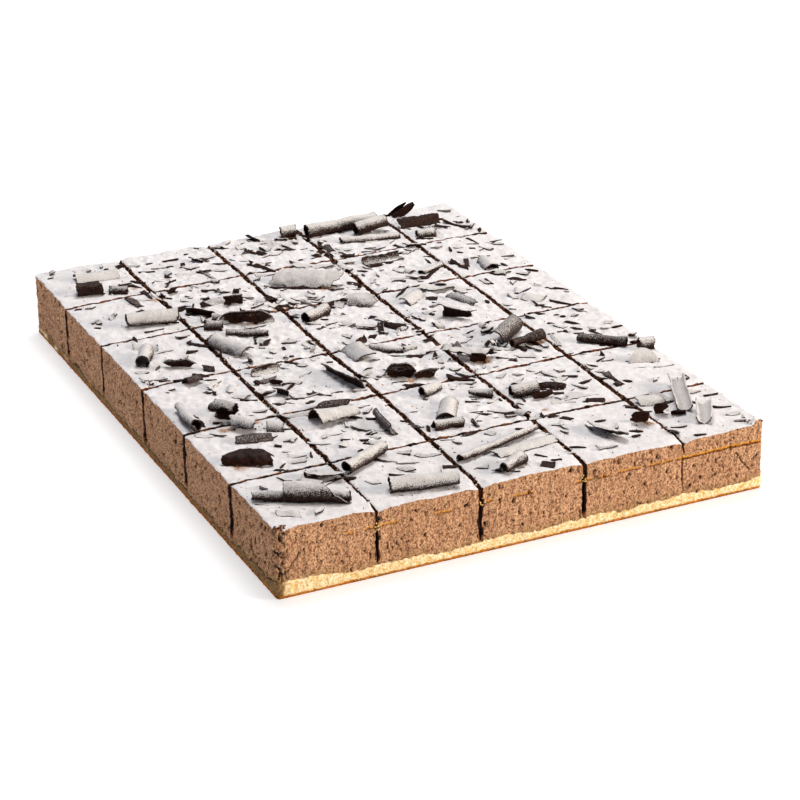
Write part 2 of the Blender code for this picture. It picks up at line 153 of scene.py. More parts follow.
# Crumbs, in numbers for each cut or corner or for the whole top
COCOA_ALONG_COLUMN_CUT = 260
COCOA_ALONG_ROW_CUT = 70
COCOA_ON_TOP = 420
COCOA_AT_RIGHT_CORNER = 26
COCOA_AT_LEFT_CORNER = 18
SPONGE_AT_SEAM = 7
SPONGE_ON_TOP = 40
CRUMB_MARGIN = 3.0

# Camera, fitted to the cake's edges and cuts in the photo: place in metres, turn in degrees
CAMERA_PLACE = (-0.547944, -1.233126, 0.609276)
CAMERA_TURN = (65.77661, 0.88333, -24.98907)
CAMERA_LENS = 115.88

CURLS = (
    dict(name="curl_corner_wrap", x=-113.3, y=-167.9, yaw=-28, length=22,
         radius=5.3, sweep=240, turn=-30, slant=26),
    dict(name="curl_corner_tube", x=-115.2, y=-167.6, yaw=-27, length=50,
         radius=2.4, end_radius=3.0, sweep=320),
    dict(name="curl_front_slanted_tube", x=-69.0, y=-142.0, yaw=29, length=32,
         radius=3.9, sweep=430, turn=60, dust=1.15),
    dict(name="curl_front_tube", x=-54.0, y=-181.0, yaw=-14, length=36,
         radius=3.7, end_radius=2.6, sweep=330, dust=1.5),
    dict(name="curl_long_roll", x=1.5, y=-155.6, yaw=17, length=56,
         radius=2.3, end_radius=1.8, sweep=300, turn=20),
    dict(name="curl_long_slab", x=12.6, y=-160.8, yaw=6.5, length=38,
         radius=13, sweep=34, turn=-12, slant=-4),
    dict(name="curl_half_shell", x=56.5, y=-168.5, yaw=-69, length=27,
         radius=5.2, sweep=105, turn=32, leaf=0.6, pitch=3, dust=1.5),
    dict(name="curl_right_tube", x=116.3, y=-144.5, yaw=-113, length=36,
         radius=3.6, sweep=205, turn=176, pitch=-5, dust=2.4),
    dict(name="curl_right_trough", x=115.8, y=-170.0, yaw=-120, length=22,
         radius=4.3, sweep=185, turn=180, pitch=-4, dust=2.4),
    dict(name="curl_dark_roll", x=115.5, y=-59.8, yaw=-39, length=29,
         radius=2.3, end_radius=2.9, sweep=310, dust=0.45),
    dict(name="curl_raised_trough", x=71.5, y=-26.5, yaw=36, length=25,
         radius=4.4, sweep=190, turn=-30, pitch=5, dust=0.55),
    dict(name="curl_dark_cone", x=77.0, y=-41.5, yaw=9, length=22,
         radius=1.5, end_radius=2.9, sweep=300, turn=40, dust=0.3),
    dict(name="curl_crumpled", x=40.2, y=-46.8, yaw=-34, length=23,
         radius=6.2, sweep=145, turn=22, leaf=0.25, dust=1.2, ragged=1.7),
    dict(name="curl_open_cone", x=57.0, y=10.5, yaw=-42, length=19,
         radius=5.4, end_radius=1.6, sweep=165, turn=62, dust=1.0),
    dict(name="curl_dark_tongue", x=-9.0, y=-56.5, yaw=-27, length=18,
         radius=7.0, sweep=112, turn=68, crest=0.8, dust=1.5, ragged=0.6),
    dict(name="curl_dark_stick", x=-42.0, y=-40.5, yaw=-86, length=36,
         radius=4.0, end_radius=9.0, sweep=72, turn=58, dust=0.9, ragged=0.3),
    dict(name="curl_curled_stick", x=-40.3, y=-105.7, yaw=-94, length=25,
         radius=3.0, sweep=200, turn=-120, dust=0.5),
    dict(name="curl_arched_sheet", x=-61.0, y=-86.5, yaw=3, length=25,
         radius=7.4, end_radius=4.0, sweep=170, turn=14, dust=1.3),
    dict(name="curl_dark_shell", x=-55.0, y=55.6, yaw=-22, length=33,
         radius=5.8, sweep=118, turn=72, crest=0.75, dust=1.3, ragged=1.0),
    dict(name="curl_wide_tube", x=-102.0, y=84.3, yaw=-9, length=31,
         radius=3.8, end_radius=4.2, sweep=340, slant=-5, dust=1.9),
    dict(name="curl_left_wrap", x=-120.5, y=144.5, yaw=-12, length=15,
         radius=4.3, sweep=290, turn=-15, slant=5, dust=0.2),
    dict(name="curl_broad_roll", x=-75.6, y=26.5, yaw=-68, length=29,
         radius=5.2, sweep=165, turn=-14, leaf=0.35),
    dict(name="curl_edge_scroll", x=-132.6, y=-52.0, yaw=-91, length=29,
         radius=1.5, end_radius=2.7, sweep=330),
    dict(name="curl_dark_slab", x=-119.2, y=-108.1, yaw=153, length=28,
         radius=14, end_radius=12, sweep=50, turn=33, crest=0.55, dust=0.04, ragged=1.4),
    dict(name="curl_cluster_scroll", x=-113.6, y=-58.2, yaw=-52, length=14,
         radius=4.4, sweep=260, turn=60, slant=4, dust=0.7, ragged=1.6),
    dict(name="curl_cluster_tube", x=-109.6, y=-74.8, yaw=-54, length=16,
         radius=3.9, sweep=215, turn=20, slant=6, leaf=0.25, dust=0.9, ragged=1.4),
    dict(name="curl_ragged_sheet", x=6.5, y=106.5, yaw=-37, length=41,
         radius=14, sweep=60, turn=-36, leaf=0.15, dust=1.3, ragged=1.8),
    dict(name="curl_back_tube", x=57.3, y=175.2, yaw=2, length=49, radius=4.6, sweep=430, turn=60),
    dict(name="curl_back_overlap", x=72.4, y=163.6, yaw=2, length=21,
         radius=4.2, sweep=330, turn=-10, slant=4, pitch=8),
)

SMALL_CURLS = (
    dict(name="back_short", x=23.2, y=180.0, yaw=-7, length=11, radius=4.2, sweep=300),
    dict(name="back_thin", x=66.5, y=151.0, yaw=-12, length=38, radius=2.3, sweep=280, dust=1.3),
    dict(name="back_tongue", x=103.0, y=176.5, yaw=-18, length=17,
         radius=4.6, sweep=85, turn=72, pitch=30, leaf=0.7, dust=0.12, ragged=0.4),
    dict(name="back_blade", x=100.0, y=181.0, yaw=-14, length=16,
         radius=3.5, sweep=50, turn=80, pitch=36, leaf=0.75, dust=0.1, ragged=0.4),
    dict(name="back_slab", x=106.0, y=168.0, yaw=-3, length=29, radius=8, sweep=60, turn=-48,
         dust=0.12, ragged=1.2),
    dict(name="back_roll", x=101.0, y=142.0, yaw=-10, length=12, radius=2.4, sweep=260),
    dict(name="trough_ragged", x=58.5, y=113.0, yaw=0, length=27, radius=4.0, sweep=150, turn=150,
         dust=0.6, ragged=1.2),
    dict(name="oval", x=21.0, y=60.5, yaw=-32, length=19, radius=9, sweep=80, turn=-45, leaf=0.8),
    dict(name="thin_roll", x=78.0, y=86.5, yaw=25, length=20, radius=2.1, sweep=270),
    dict(name="lens", x=-113.5, y=11.5, yaw=-27, length=18, radius=7, sweep=75, turn=60, leaf=0.85,
         dust=1.0),
    dict(name="short_tube", x=-125.0, y=34.0, yaw=-118, length=19, radius=3.1, sweep=300),
    dict(name="cluster_slab", x=-109.0, y=-87.6, yaw=-14, length=21,
         radius=10, sweep=42, turn=-20, leaf=0.3, dust=0.35),
    dict(name="cluster_flake", x=-94.2, y=-82.6, yaw=-33, length=10, radius=3.4, sweep=190),
    dict(name="lying_tube", x=-11.5, y=-121.5, yaw=-6, length=17, radius=2.9, sweep=290),
    dict(name="broad_tube", x=-3.1, y=-103.0, yaw=58, length=22, radius=4.7, sweep=170),
    dict(name="second_tongue", x=3.6, y=-61.5, yaw=-29, length=12, radius=2.6, end_radius=5.4,
         sweep=105, turn=68, crest=0.25, slant=4, dust=1.5, ragged=0.6),
    dict(name="edge_stub", x=134.5, y=-76.5, yaw=-11, length=9.5, radius=3.3, sweep=290),
    dict(name="triangle", x=125.6, y=-86.5, yaw=161, length=18,
         radius=9, sweep=62, turn=38, crest=0.95, dust=1.6, ragged=0.5),
    dict(name="crumpled_flake", x=99.4, y=-139.9, yaw=-10, length=15,
         radius=10, sweep=60, turn=-15, leaf=0.3),
    dict(name="half_sunk", x=-108.0, y=167.5, yaw=-5, length=27, radius=4.6, sweep=150, turn=-10,
         dust=1.9),
    dict(name="dark_bit", x=80.4, y=-168.8, yaw=-10, length=10.5, radius=7.0, sweep=95, turn=60,
         leaf=0.3, dust=0.05, ragged=1.5),
    dict(name="dark_bits", x=95.5, y=-163.0, yaw=-15, length=9,
         radius=6.5, sweep=100, turn=60, leaf=0.3, dust=0.05, ragged=1.4),
    dict(name="dark_end", x=104.0, y=-165.5, yaw=-15, length=9, radius=4.0, sweep=80, turn=60,
         leaf=0.5, dust=0.05, ragged=1.2),
    dict(name="folded_flake", x=-96.0, y=-151.0, yaw=-34, length=21,
         radius=8, sweep=80, turn=24, leaf=0.3, dust=1.4, ragged=1.4),
    dict(name="fold_scroll", x=-101.0, y=-146.0, yaw=-14, length=7,
         radius=2.4, sweep=300, turn=30, dust=0.8),
    dict(name="left_tube", x=-103.8, y=138.9, yaw=-25, length=12, radius=2.7, sweep=300, dust=0.7),
    dict(name="pile_tube", x=-73.4, y=60.4, yaw=-27, length=12, radius=2.5, sweep=300, dust=0.7),
    dict(name="slat", x=-102.4, y=119.5, yaw=-83, length=18, radius=8, sweep=38, turn=10, dust=0.35),
    dict(name="corner_flake", x=-126.5, y=-178.5, yaw=-34, length=13,
         radius=9, sweep=36, turn=-4, dust=1.3),
    dict(name="front_cone", x=-4.5, y=-182.0, yaw=30, length=17,
         radius=2.6, end_radius=3.8, sweep=320, slant=3),
    dict(name="low_tube", x=-59.5, y=43.0, yaw=-30, length=25, radius=2.0, sweep=300, turn=30,
         dust=0.7),
    dict(name="brown_leaf", x=-56.3, y=-67.6, yaw=-1, length=22,
         radius=6, sweep=62, turn=-45, leaf=0.7, dust=0.3),
    dict(name="dusted_tube", x=43.8, y=-101.9, yaw=-8, length=16, radius=3.2, sweep=300),
    dict(name="dusted_cone", x=21.6, y=-94.0, yaw=-32, length=14,
         radius=1.0, end_radius=3.5, sweep=300),
    dict(name="dark_strip", x=62.0, y=-97.6, yaw=-26, length=18,
         radius=5, sweep=60, turn=-50, leaf=0.7, dust=0.2),
    dict(name="small_tongue", x=50.1, y=-115.0, yaw=-4, length=13,
         radius=4, sweep=95, turn=70, leaf=0.6, dust=0.3),
    dict(name="crumpled_half", x=39.6, y=-54.2, yaw=-27, length=10,
         radius=4.2, sweep=110, turn=65, leaf=0.3, dust=0.4),
    dict(name="slanted_roll", x=1.9, y=-13.9, yaw=-43, length=22, radius=2.4, sweep=250, turn=-10),
    dict(name="wedge_flake", x=-11.5, y=-12.6, yaw=-85, length=19, radius=9, sweep=80, turn=-25),
    dict(name="folded_sheet", x=47.3, y=50.1, yaw=31, length=18, radius=6, sweep=90, turn=-20),
    dict(name="edge_sheet", x=76.6, y=34.6, yaw=-65, length=22, radius=5, sweep=70, turn=-55, leaf=0.5),
    dict(name="small_arch", x=112.3, y=78.2, yaw=87, length=15, radius=3.8, sweep=190),
    dict(name="light_flake", x=113.3, y=18.9, yaw=-47, length=14, radius=13, sweep=55, leaf=0.3),
    dict(name="tented_flake", x=-50.7, y=86.8, yaw=-19, length=12, radius=4.3, sweep=130, turn=70),
    dict(name="leaf_trough", x=-70.5, y=-15.0, yaw=5, length=18,
         radius=4.6, sweep=110, turn=120, leaf=0.6),
    dict(name="dark_triangle", x=-73.0, y=-31.6, yaw=-27, length=8,
         radius=3, sweep=100, turn=60, leaf=0.8, dust=0.1),
    dict(name="dark_loop", x=-111.8, y=-7.0, yaw=10, length=10, radius=3.4, sweep=200, turn=20,
         dust=0.3),
    dict(name="square_chip", x=-96.9, y=6.6, yaw=-42, length=8, radius=5, sweep=68, turn=-20,
         dust=0.2),
    dict(name="light_tube", x=-14.2, y=48.8, yaw=25, length=19, radius=2.9, sweep=300),
    dict(name="pile_sheet", x=-74.8, y=82.0, yaw=-47, length=20, radius=4, sweep=90, turn=60,
         dust=0.5),
    dict(name="thin_stick", x=-125.6, y=-55.0, yaw=-88, length=17, radius=5, sweep=36, turn=-20,
         dust=0.15, ragged=1.0),
    dict(name="light_roll", x=-1.0, y=-78.0, yaw=20, length=14, radius=3.2, sweep=300, dust=1.4),
    dict(name="dark_rectangle", x=59.5, y=47.0, yaw=-27, length=8, radius=6, sweep=32, turn=-30,
         dust=0.1),
    dict(name="dark_leaf", x=20.6, y=15.2, yaw=-63, length=10, radius=4, sweep=60, turn=-50, leaf=0.6,
         dust=0.2),
    dict(name="rim_chip", x=14.0, y=-186.2, yaw=-40, length=8, radius=7, sweep=40, turn=-10, dust=0.1),
    dict(name="rim_triangle", x=-11.3, y=-185.5, yaw=-10, length=9,
         radius=4, sweep=70, turn=50, leaf=0.7),
)

# Chips, three on each portion, in the places that the CAD gives them
CHIPS_PER_PORTION = 3
CHIP_LENGTH = (5.0, 10.0)
CHIP_WIDTH = (2.4, 4.6)
CHIP_SPACING = 9.0
CHIP_MARGIN = 6.5
CHIP_SEED = 30

# Larger loose flakes, placed where the photo shows them: x, y, yaw, length, width, dust,
# and where they aren't flat or level also roll and the radius of bend
# Some of the bare dark ones are painted shade, dark sheets laid where shade falls beside a curl
FLAKES = (
    # First row of portions, from the front
    (-131, -165, -29, 14, 2, 1), (-102, -150, -55, 12, 7, 1, 0, -4), (-105, -146, -40, 6, 5, .8, 0, -2),
    (-93, -154, 10, 14, 7, 1, -12, -9), (-108, -126, 40, 6, 1.5, .1), (-107, -132, -20, 7, 4, .5, 0, 3),
    (-112, -130, 0, 5, 3, .1), (-83, -155, -20, 6, 3, .1), (-58, -144, -50, 10, 8, 1, -15, 6),
    (-49, -152, -20, 12, 3, .6), (-36, -148, -20, 14, 8, .8), (-60, -162, -30, 8, 1.5, .1),
    (-74, -164, -45, 8, 5, 1, -10), (-31, -166, -20, 9, 3, .2), (15, -176, -50, 7, 1.5, .1),
    (20, -184, -10, 5, 1.5, .1), (-6, -135, 10, 10, 5, .3, 0, 2.5), (-2, -134, 20, 9, 1.5, .1),
    (22, -142, -30, 7, 1.8, .1), (-19, -136, -20, 7, 1.5, .3), (44, -147, 70, 10, 7, 1, 20),
    (51, -181, -15, 11, 7, .8, -12), (37, -175, -30, 8, 1.2, .1), (74, -171, -30, 7, 2.5, .1),
    (108, -140, -80, 14, 12, .9, 0, -8), (131, -125, 15, 7, 1.6, .1), (126, -140, -20, 10, 6, 1),
    (119, -152, -60, 8, 2, .1), (133, -149, -8, 8, 1.5, .15), (130, -165, -25, 9, 1.5, .15),
    (130, -184, -20, 6, 4, .6), (134, -180, 60, 5, 3, 1, -20), (102, -190, -10, 6, 2, .1),
    (87, -142, -45, 7, 3, .3), (49, -141, -50, 6, 3, .1), (44, -135, -27, 5, 5, .1),
    (63, -152, -6, 6, 2, .2), (54, -156, -88, 8, 1.5, .3), (61, -159, -75, 8, 1.5, .3),
    (86, -144, -55, 5, 2, .2),
    # Second row
    (-100, -93, 20, 7, 1.5, .1), (-101, -103, -45, 4, 2, .1), (-97, -118, -30, 9, 6, 1, 0, -5),
    (-90, -121, 70, 6, 1.5, .1), (-99, -111, -20, 6, 3, 1), (-81, -110, -33, 12, 6, 1, -10),
    (-71, -104, -6, 11, 5, 1, -8), (-54, -103, -57, 11, 6, 1, -18), (-67, -113, -20, 5, 1.5, .1),
    (-58, -118, -20, 5, 1.5, .1), (-26, -113, -60, 9, 5, .3, 0, -2.5), (-22, -119, 70, 7, 3, .1),
    (-29, -106, -50, 6, 2, .1), (10, -112, -10, 7, 2, .1), (13, -116, -35, 9, 1.5, .1),
    (5, -122, -20, 5, 2, .1), (14, -99, -35, 8, 2, .1), (24, -117, -30, 16, 6, 1),
    (-7, -124, -35, 6, 2, .1), (45, -105, -45, 12, 9, 1, 0, 3.5), (35, -133, -20, 7, 6, .9),
    (39, -132, 80, 6, 1.5, .1), (44, -135, -20, 5, 4, .9), (74, -127, -30, 10, 4, .15),
    (81, -103, 10, 8, 1.5, .2), (70, -118, -20, 16, 12, 1), (57, -120, -20, 12, 7, 1),
    (96, -107, -75, 14, 2, .15), (91, -104, -30, 6, 3, .2), (102, -113, -45, 5, 3, .1),
    (94, -86, -40, 7, 2, .1), (117, -100, -10, 7, 1.5, .3), (130, -104, -10, 11, 2, 1),
    (-43, -95, -20, 7, 2, .05), (-50, -89, -40, 7, 4, .3), (22, -68, -45, 15, 6, .1, -10),
    (93, -86, -88, 8, 5, 1, -14), (103, -81, 22, 7, 1.6, .1), (95, -94, 5, 5, 5, 1),
    (96, -107, 85, 19, 3.5, .35, -15), (93, -101, -60, 3, 4, 1), (80, -104, 5, 6, 1.6, .1),
    (116, -90, -48, 4, 1.6, .3), (130, -95, 23, 7, 1.4, .3), (59, -104, -29, 14, 1.5, .2),
    (46, -104, -27, 6, 4.5, 1, 0, 3), (59, -116, -27, 5, 7, .9, 0, -6), (68, -127, -38, 3, 2, .1),
    (40, -107, 83, 10, 1.5, .2), (53, -77, -27, 6, 7, .5, 0, -2.6), (63, -76, -69, 7, 6, 1),
    (68, -84, -74, 13, 6, .8, -14),
    # Third row
    (-69, -8, 20, 20, 9, .85, 0, -6), (-80, -8, -10, 8, 3, .4), (-74, -22, 10, 12, 6, .4, 0, -3),
    (-65, -32, -10, 8, 3, .1), (-52, -6, -50, 11, 3, .1), (-56, -12, -50, 9, 6, 1, 0, 5),
    (-52, -24, 20, 9, 4, .7, 0, -2), (-56, -54, -40, 12, 5, .2, 0, 3), (-64, -60, 0, 5, 3, .2),
    (-70, -52, -20, 10, 1.8, .1), (-78, -55, -20, 10, 3, .15), (-78, -72, -5, 16, 7, .9, 0, -3),
    (-87, -66, 0, 6, 5, 1), (-96, -61, -20, 8, 5, .3), (-93, -42, -30, 9, 1.5, .1),
    (-128, -75, -25, 16, 6, 1, 0, -8), (-97, -24, 60, 9, 7, 1, 0, -2.5), (-108, -23, -20, 7, 5, .3, 0, 2),
    (-102, -8, -15, 6, 2, .1), (-105, -1, -20, 9, 5, .2, 0, 2), (-117, -1, -10, 8, 3, .1),
    (-10, -58, -10, 8, 2, .1), (-5, -65, -10, 10, 4, .15, 0, 2), (24, -32, 65, 10, 4, .1),
    (33, -26, 60, 9, 5, .8, 0, -3), (39, -31, 80, 12, 8, .4, 0, -3), (24, -46, 45, 15, 1.5, .5),
    (43, -56, 60, 12, 3, 1), (13, -29, -25, 9, 4, .1), (4, -22, -25, 16, 3, 1), (67, -11, -65, 7, 3, .1),
    # (82, -43) is painted shade: a dark flake where the dark cone's shadow falls
    (62, -43, -34, 11, 5, 1, -12), (71, -46, -74, 9, 3, .1), (82, -43, -76, 10, 5, .1),
    (57, -55, -40, 12, 1.8, .1), (68, -57, -27, 9, 4, 1), (94, -44, 76, 18, 5, .8, 0, -4),
    (103, -34, -27, 3, 2, .2), (104, -20, -43, 4, 2.5, .1), (107, -26, -67, 8, 5, 1, -10),
    (115, -25, -57, 9, 3, .08), (119, -32, -76, 10, 1.5, .4), (113, -34, -57, 6, 2, .1),
    (120, -44, -70, 9, 1.6, .2), (112, -44, -27, 3, 3, .1), (115, -64, -34, 6, 1.6, .1),
    (133, -66, -55, 3, 3, .1), (115, -14, -34, 3, 3, .1), (134, -34, -27, 4, 6, .9, 0, -6),
    (135, -42, 0, 8, 2.2, .15), (93, -65, -4, 3, 1.2, .3), (98, -70, -5, 4, 1.2, .3),
    # Fourth row
    (-118, 52, -30, 14, 10, 1, 0, -5), (-112, 42, 0, 14, 5, 1), (-94, 56, 0, 5, 1.2, .1),
    (-93, 49, 30, 4, 1.2, .1), (-97, 34, -10, 6, 4, .1), (-89, 41, -45, 16, 4, .15),
    (-80, 47, 60, 8, 7, .05), (-125, 2, -15, 6, 1.5, .1), (-130, 8, -22, 14, 5, 1),
    (22, 16, -45, 14, 6, .1, 0, 3), (8, 22, -20, 14, 6, .9, 0, -3), (4, 8, 0, 5, 3, .1),
    (-41, 22, -10, 10, 2, .1), (-59, 32, 73, 6, 1.6, .2), (-48, 16, 81, 4, 1.8, .2),
    (-57, 44, -52, 16, 2.5, .05), (-51, 52, -13, 12, 6, .8, -14, -5), (-14, 45, -32, 9, 4, .1),
    (-19, 32, -15, 4, 2.6, .1), (-16, 33, -65, 3, 2.5, .2), (-2, 52, -78, 15, 8, 1, -8, -8),
    (2, 46, -58, 3, 3, .2), (-11, 29, -3, 7, 1.6, .2), (8, 35, -9, 6, 1.5, .3), (16, 34, -27, 5, 4, .1),
    (5, 19, -31, 9, 2.2, .1), (6, 24, -27, 11, 6, 1, -10), (12, 15, 69, 15, 4, .2, 0, 2.2),
    (3, 7, -35, 4, 5, .1), (-21, 48, 84, 11, 5, .1, 0, 2.2), (-24, 56, -51, 6, 6, .5, 0, 2.5),
    (110, 17, 88, 18, 1.6, .1), (114, 31, 27, 10, 1.4, .2), (111, 7, -12, 5, 1.6, .06),
    (128, 28, -56, 4, 2, .1), (134, 24, -45, 9, 2.6, .06), (123, 5, -51, 12, 3.6, .06),
    (104, 24, -61, 4, 6, 1), (95, 17, -42, 6, 6, 1, -8), (94, 9, -38, 4, 1.6, .1),
    (105, -4, -32, 5, 4, .12), (118, 50, -53, 9, 4.5, .1), (101, 54, 90, 10, 1.6, .2),
    (133, 59, -49, 8, 2.5, .06), (68, 57, -43, 16, 13, 1, 0, -14), (68, 49, -42, 7, 1.2, .3),
    (77, 55, 81, 14, 1.6, .3), (80, 52, -87, 16, 8, 1, -6, -8), (66, 45, -27, 5, 1.2, .3),
    (48, 32, -40, 3, 2, .2), (48, 23, -46, 3, 2.6, .2), (73, 18, 1, 4, 1.2, .3), (86, 26, -77, 4, 3, .1),
    # Fifth row
    (-133, 93, -30, 4, 1.5, .1), (-105, 74, 0, 11, 1.5, .2), (-93, 81, -25, 10, 1.5, .1),
    (-94, 121, -30, 10, 6, .9, 0, -3), (-90, 127, -85, 14, 3, .2), (-86, 122, -85, 16, 4, 1),
    (-80, 97, 30, 9, 6, .1), (-74, 85, -20, 12, 5, .15), (-70, 78, 10, 10, 4, .1),
    (-53, 99, -5, 20, 14, .8, 0, -9), (-46, 94, -70, 8, 6, .05), (-55, 117, -15, 8, 3, .1),
    (-57, 127, -20, 10, 7, 1, 0, -5), (-44, 64, -9, 6, 7, .15, -20), (-47, 57, -41, 7, 4, .6),
    (-33, 86, -53, 6, 7, .8, 0, -2.8), (-27, 86, -2, 5, 8, .1, 0, 3), (-28, 70, -48, 5, 5, .1),
    (-23, 73, -77, 5, 5, .15), (-21, 70, -5, 3, 3, .2), (-6, 98, -28, 31, 3, .05),
    (17, 91, -41, 9, 6, .5, 0, -5), (15, 86, -12, 7, 6, .5, -15), (27, 89, -37, 7, 6, .2),
    (-17, 83, -83, 22, 6, 1, -10, -5), (-18, 74, -69, 8, 1.6, .1), (-11, 81, -60, 12, 7, 1, -8),
    (-2, 76, -48, 9, 5, .5, -12), (5, 64, -48, 10, 8, .12), (-22, 116, -71, 8, 1.5, .3),
    (-15, 127, -27, 12, 8, .9, 0, -9), (48, 63, 41, 19, 1.8, .1), (55, 82, -29, 9, 8, .9, 0, -3.4),
    (53, 79, -23, 8, 2, .06), (78, 83, 43, 19, 2.6, .15), (69, 77, -39, 6, 5, .05),
    (83, 101, -87, 8, 2, .2), (96, 90, -68, 8, 6, .1, 0, 3), (98, 82, -83, 8, 5, .1),
    (103, 88, 68, 12, 3, .2), (98, 96, -79, 4, 5, 1), (115, 75, -23, 6, 8, .05, 0, 3.5),
    (122, 75, -70, 6, 3, .1), (116, 64, -51, 7, 7, .9, 0, -5), (111, 62, -52, 11, 1.6, .06),
    (135, 66, -31, 3, 1.6, .2), (123, 120, -80, 12, 1.5, .1), (117, 108, -34, 4, 2.2, .1),
    (122, 104, 21, 5, 1.2, .3), (136, 113, 12, 7, 3, .08), (134, 110, -32, 9, 6, 1, -10),
    (104, 113, 73, 7, 2.5, .1), (107, 105, -60, 4, 2, .1), (110, 114, -27, 6, 7, 1),
    (54, 109, 1, 18, 2.5, .08), (41, 104, -42, 7, 2, .1), (35, 116, -86, 15, 8, 1, -8, -6),
    (31, 124, -83, 7, 3, .2),
    # Last row
    (-114, 184, -5, 6, 3.5, 1), (-90, 180, 30, 7, 5, .1), (-97, 147, -10, 10, 5, .15),
    (-91, 143, -60, 8, 3, .1), (-88, 150, -40, 9, 3, .1), (-45, 139, -80, 20, 5, .6, 0, 2.5),
    (-50, 156, 10, 9, 2, .1), (-57, 150, -20, 12, 7, 1, 0, -5), (-36, 146, -15, 12, 5, .8),
    (-33, 156, -20, 8, 2, .1), (-66, 167, -20, 12, 6, 1, -10), (-57, 176, 0, 10, 1.5, .2),
    (-45, 181, 0, 3, 2, .1), (-81, 177, -30, 8, 6, .7, 0, -3), (-71, 176, 0, 4, 2, .1),
    (-77, 164, -15, 9, 1.5, .1), (-74, 147, -20, 8, 5, 1), (-70, 141, 25, 9, 1.8, .1),
    (-7, 182, 24, 3, 2, .2), (-7, 163, -70, 13, 2.4, .15), (-16, 165, -13, 8, 1.2, .5),
    (5, 171, 83, 16, 8, 1), (11, 168, 85, 16, 8, 1), (17, 162, -79, 10, 7, .9, -20),
    (15, 158, -38, 7, 1.2, .2), (22, 157, -19, 8, 5, 1, -8, -5), (24, 175, -16, 5, 2.4, .2),
    (-20, 155, -42, 12, 1.3, .3), (-12, 139, -67, 24, 5, .05), (11, 131, -60, 17, 3, .1),
    (17, 127, -31, 25, 10, 1, -8, -9), (24, 138, 12, 8, 2, .1), (-21, 132, -21, 4, 3, .2),
    (135, 129, -6, 4, 2.6, .1), (94, 188, -27, 4, 5, .1), (119, 167, -21, 11, 4, .15),
    (105, 157, -66, 7, 3, .15), (102, 162, -14, 9, 4, .2), (115, 151, -46, 10, 3, .6),
    (98, 137, -27, 10, 1.6, .06), (35, 157, 71, 12, 3, .2), (37, 148, 88, 11, 7, .3, 0, -4),
    (30, 145, -71, 5, 2, .1), (46, 145, -39, 11, 8, 1, 0, -5), (43, 132, -31, 8, 5, .06, 0, 3),
    (58, 133, -14, 9, 1.6, .1), (70, 137, 25, 19, 5, .4, -16), (78, 132, -65, 8, 2.2, .2),
    # (45, 174) is painted shade: a dark stick along the foot of the back tube
    (45, 174, -8, 21, 3, .06), (135, 165, -5, 3, 1.2, .4), (131, 157, -34, 6, 1.2, .4),
    (136, 136, 60, 7, 3, .1), (117, 153, -41, 10, 4, .2), (127, 150, -65, 23, 2.4, .06),
    (135, 144, 48, 8, 1.3, .2),
)

# Small loose flakes on each portion, front row first, left to right
FLAKES_PER_PORTION = (
    (1, 3, 4, 3, 2),
    (8, 12, 18, 14, 6),
    (12, 26, 32, 32, 12),
    (12, 26, 30, 22, 12),
    (8, 34, 36, 28, 12),
    (6, 20, 32, 24, 14),
)
FLAKE_SEED = 7
CRUMB_SEED = 11


# Shape of the cake

def cut_lines(sizes):
    """Nominal places of the edges and cuts along one side, centred on zero."""
    lines = [-sum(sizes) / 2]
    for size in sizes:
        lines.append(lines[-1] + size)
    return lines


COLUMN_LINES = cut_lines(COLUMN_WIDTHS)
ROW_LINES = cut_lines(ROW_DEPTHS)
LAST_COLUMN = len(COLUMN_WIDTHS) - 1
LAST_ROW = len(ROW_DEPTHS) - 1


def smooth(low, high, value):
    """0 below low, 1 above high, an even curve between."""
    share = min(1.0, max(0.0, (value - low) / (high - low)))
    return share * share * (3.0 - 2.0 * share)


def rough(x, y, z, size, tall=1.0, seed=0.0):
    """Smooth noise around zero with features of the given size, stretched upwards by tall."""
    return noise.noise(Vector((x / size + seed, y / size - 1.3 * seed, z / (size * tall) + 0.7 * seed)))


def wander(line, along):
    """Sideways drift of a hand-made cut."""
    return CUT_WANDER * math.sin(along / 31.0 + line * 1.7)


def surface_height(x, y):
    """Height of the cake's gently uneven top."""
    wave = math.sin(x / 23.0 + 0.6) * math.cos(y / 29.0) + 0.5 * math.sin((x + y) / 17.0)
    return CAKE_HEIGHT + TOP_WAVE * wave


def on_left_face(x):
    """1 on the cake's left face, 0 away from it."""
    return smooth(COLUMN_LINES[0] + 3, COLUMN_LINES[0] + 1, x)


def boundary_height(x, y):
    """Height of the crumbly line between sponge and mousse along the outer faces."""
    to_corner = math.hypot(x + CAKE_WIDTH / 2, y + CAKE_DEPTH / 2)
    rise = SPONGE_CORNER_RISE * math.exp(-(to_corner / SPONGE_CORNER_REACH) ** 2)
    wave = math.sin((x - y) / 8.5) + 0.6 * math.sin((x - y) / 4.1 + 1.0)
    crumb = 1.1 * rough(x, y, 0, 3.1, seed=4.0) + 0.6 * rough(x, y, 0, 1.3, seed=9.0)
    dragged = LEFT_DRAG * on_left_face(x) * smooth(ROW_LINES[0] + 4.5, ROW_LINES[0] + 12.5, y)
    return SPONGE_HEIGHT + rise - dragged + SPONGE_WAVE * wave + crumb


def near_corner(x, y, line, reach):
    """1 at a front corner of the cake, on its first or last column line, and falling to 0."""
    return math.exp(-(math.hypot(x - COLUMN_LINES[line], y - ROW_LINES[0]) / reach) ** 2)


def cut_place(index, along):
    """Where the middle of a cut between two columns lies, at a place along it."""
    return COLUMN_LINES[index] + wander(COLUMN_LINES[index], along)


def column_cut(index, along):
    """Width of the cut between two columns at a place along it: some are nearly shut in front."""
    return COLUMN_CUT * (1 - (1 - FRONT_CUT_SHARES[index]) * smooth(-140.0, -165.0, along))


def cut_closes_at(index, along):
    """Heights between which a column cut closes towards the sponge."""
    return SHALLOW_CUT_CLOSES_AT if index == SHALLOW_CUT and along < ROW_LINES[0] + 8 else CUT_CLOSES_AT


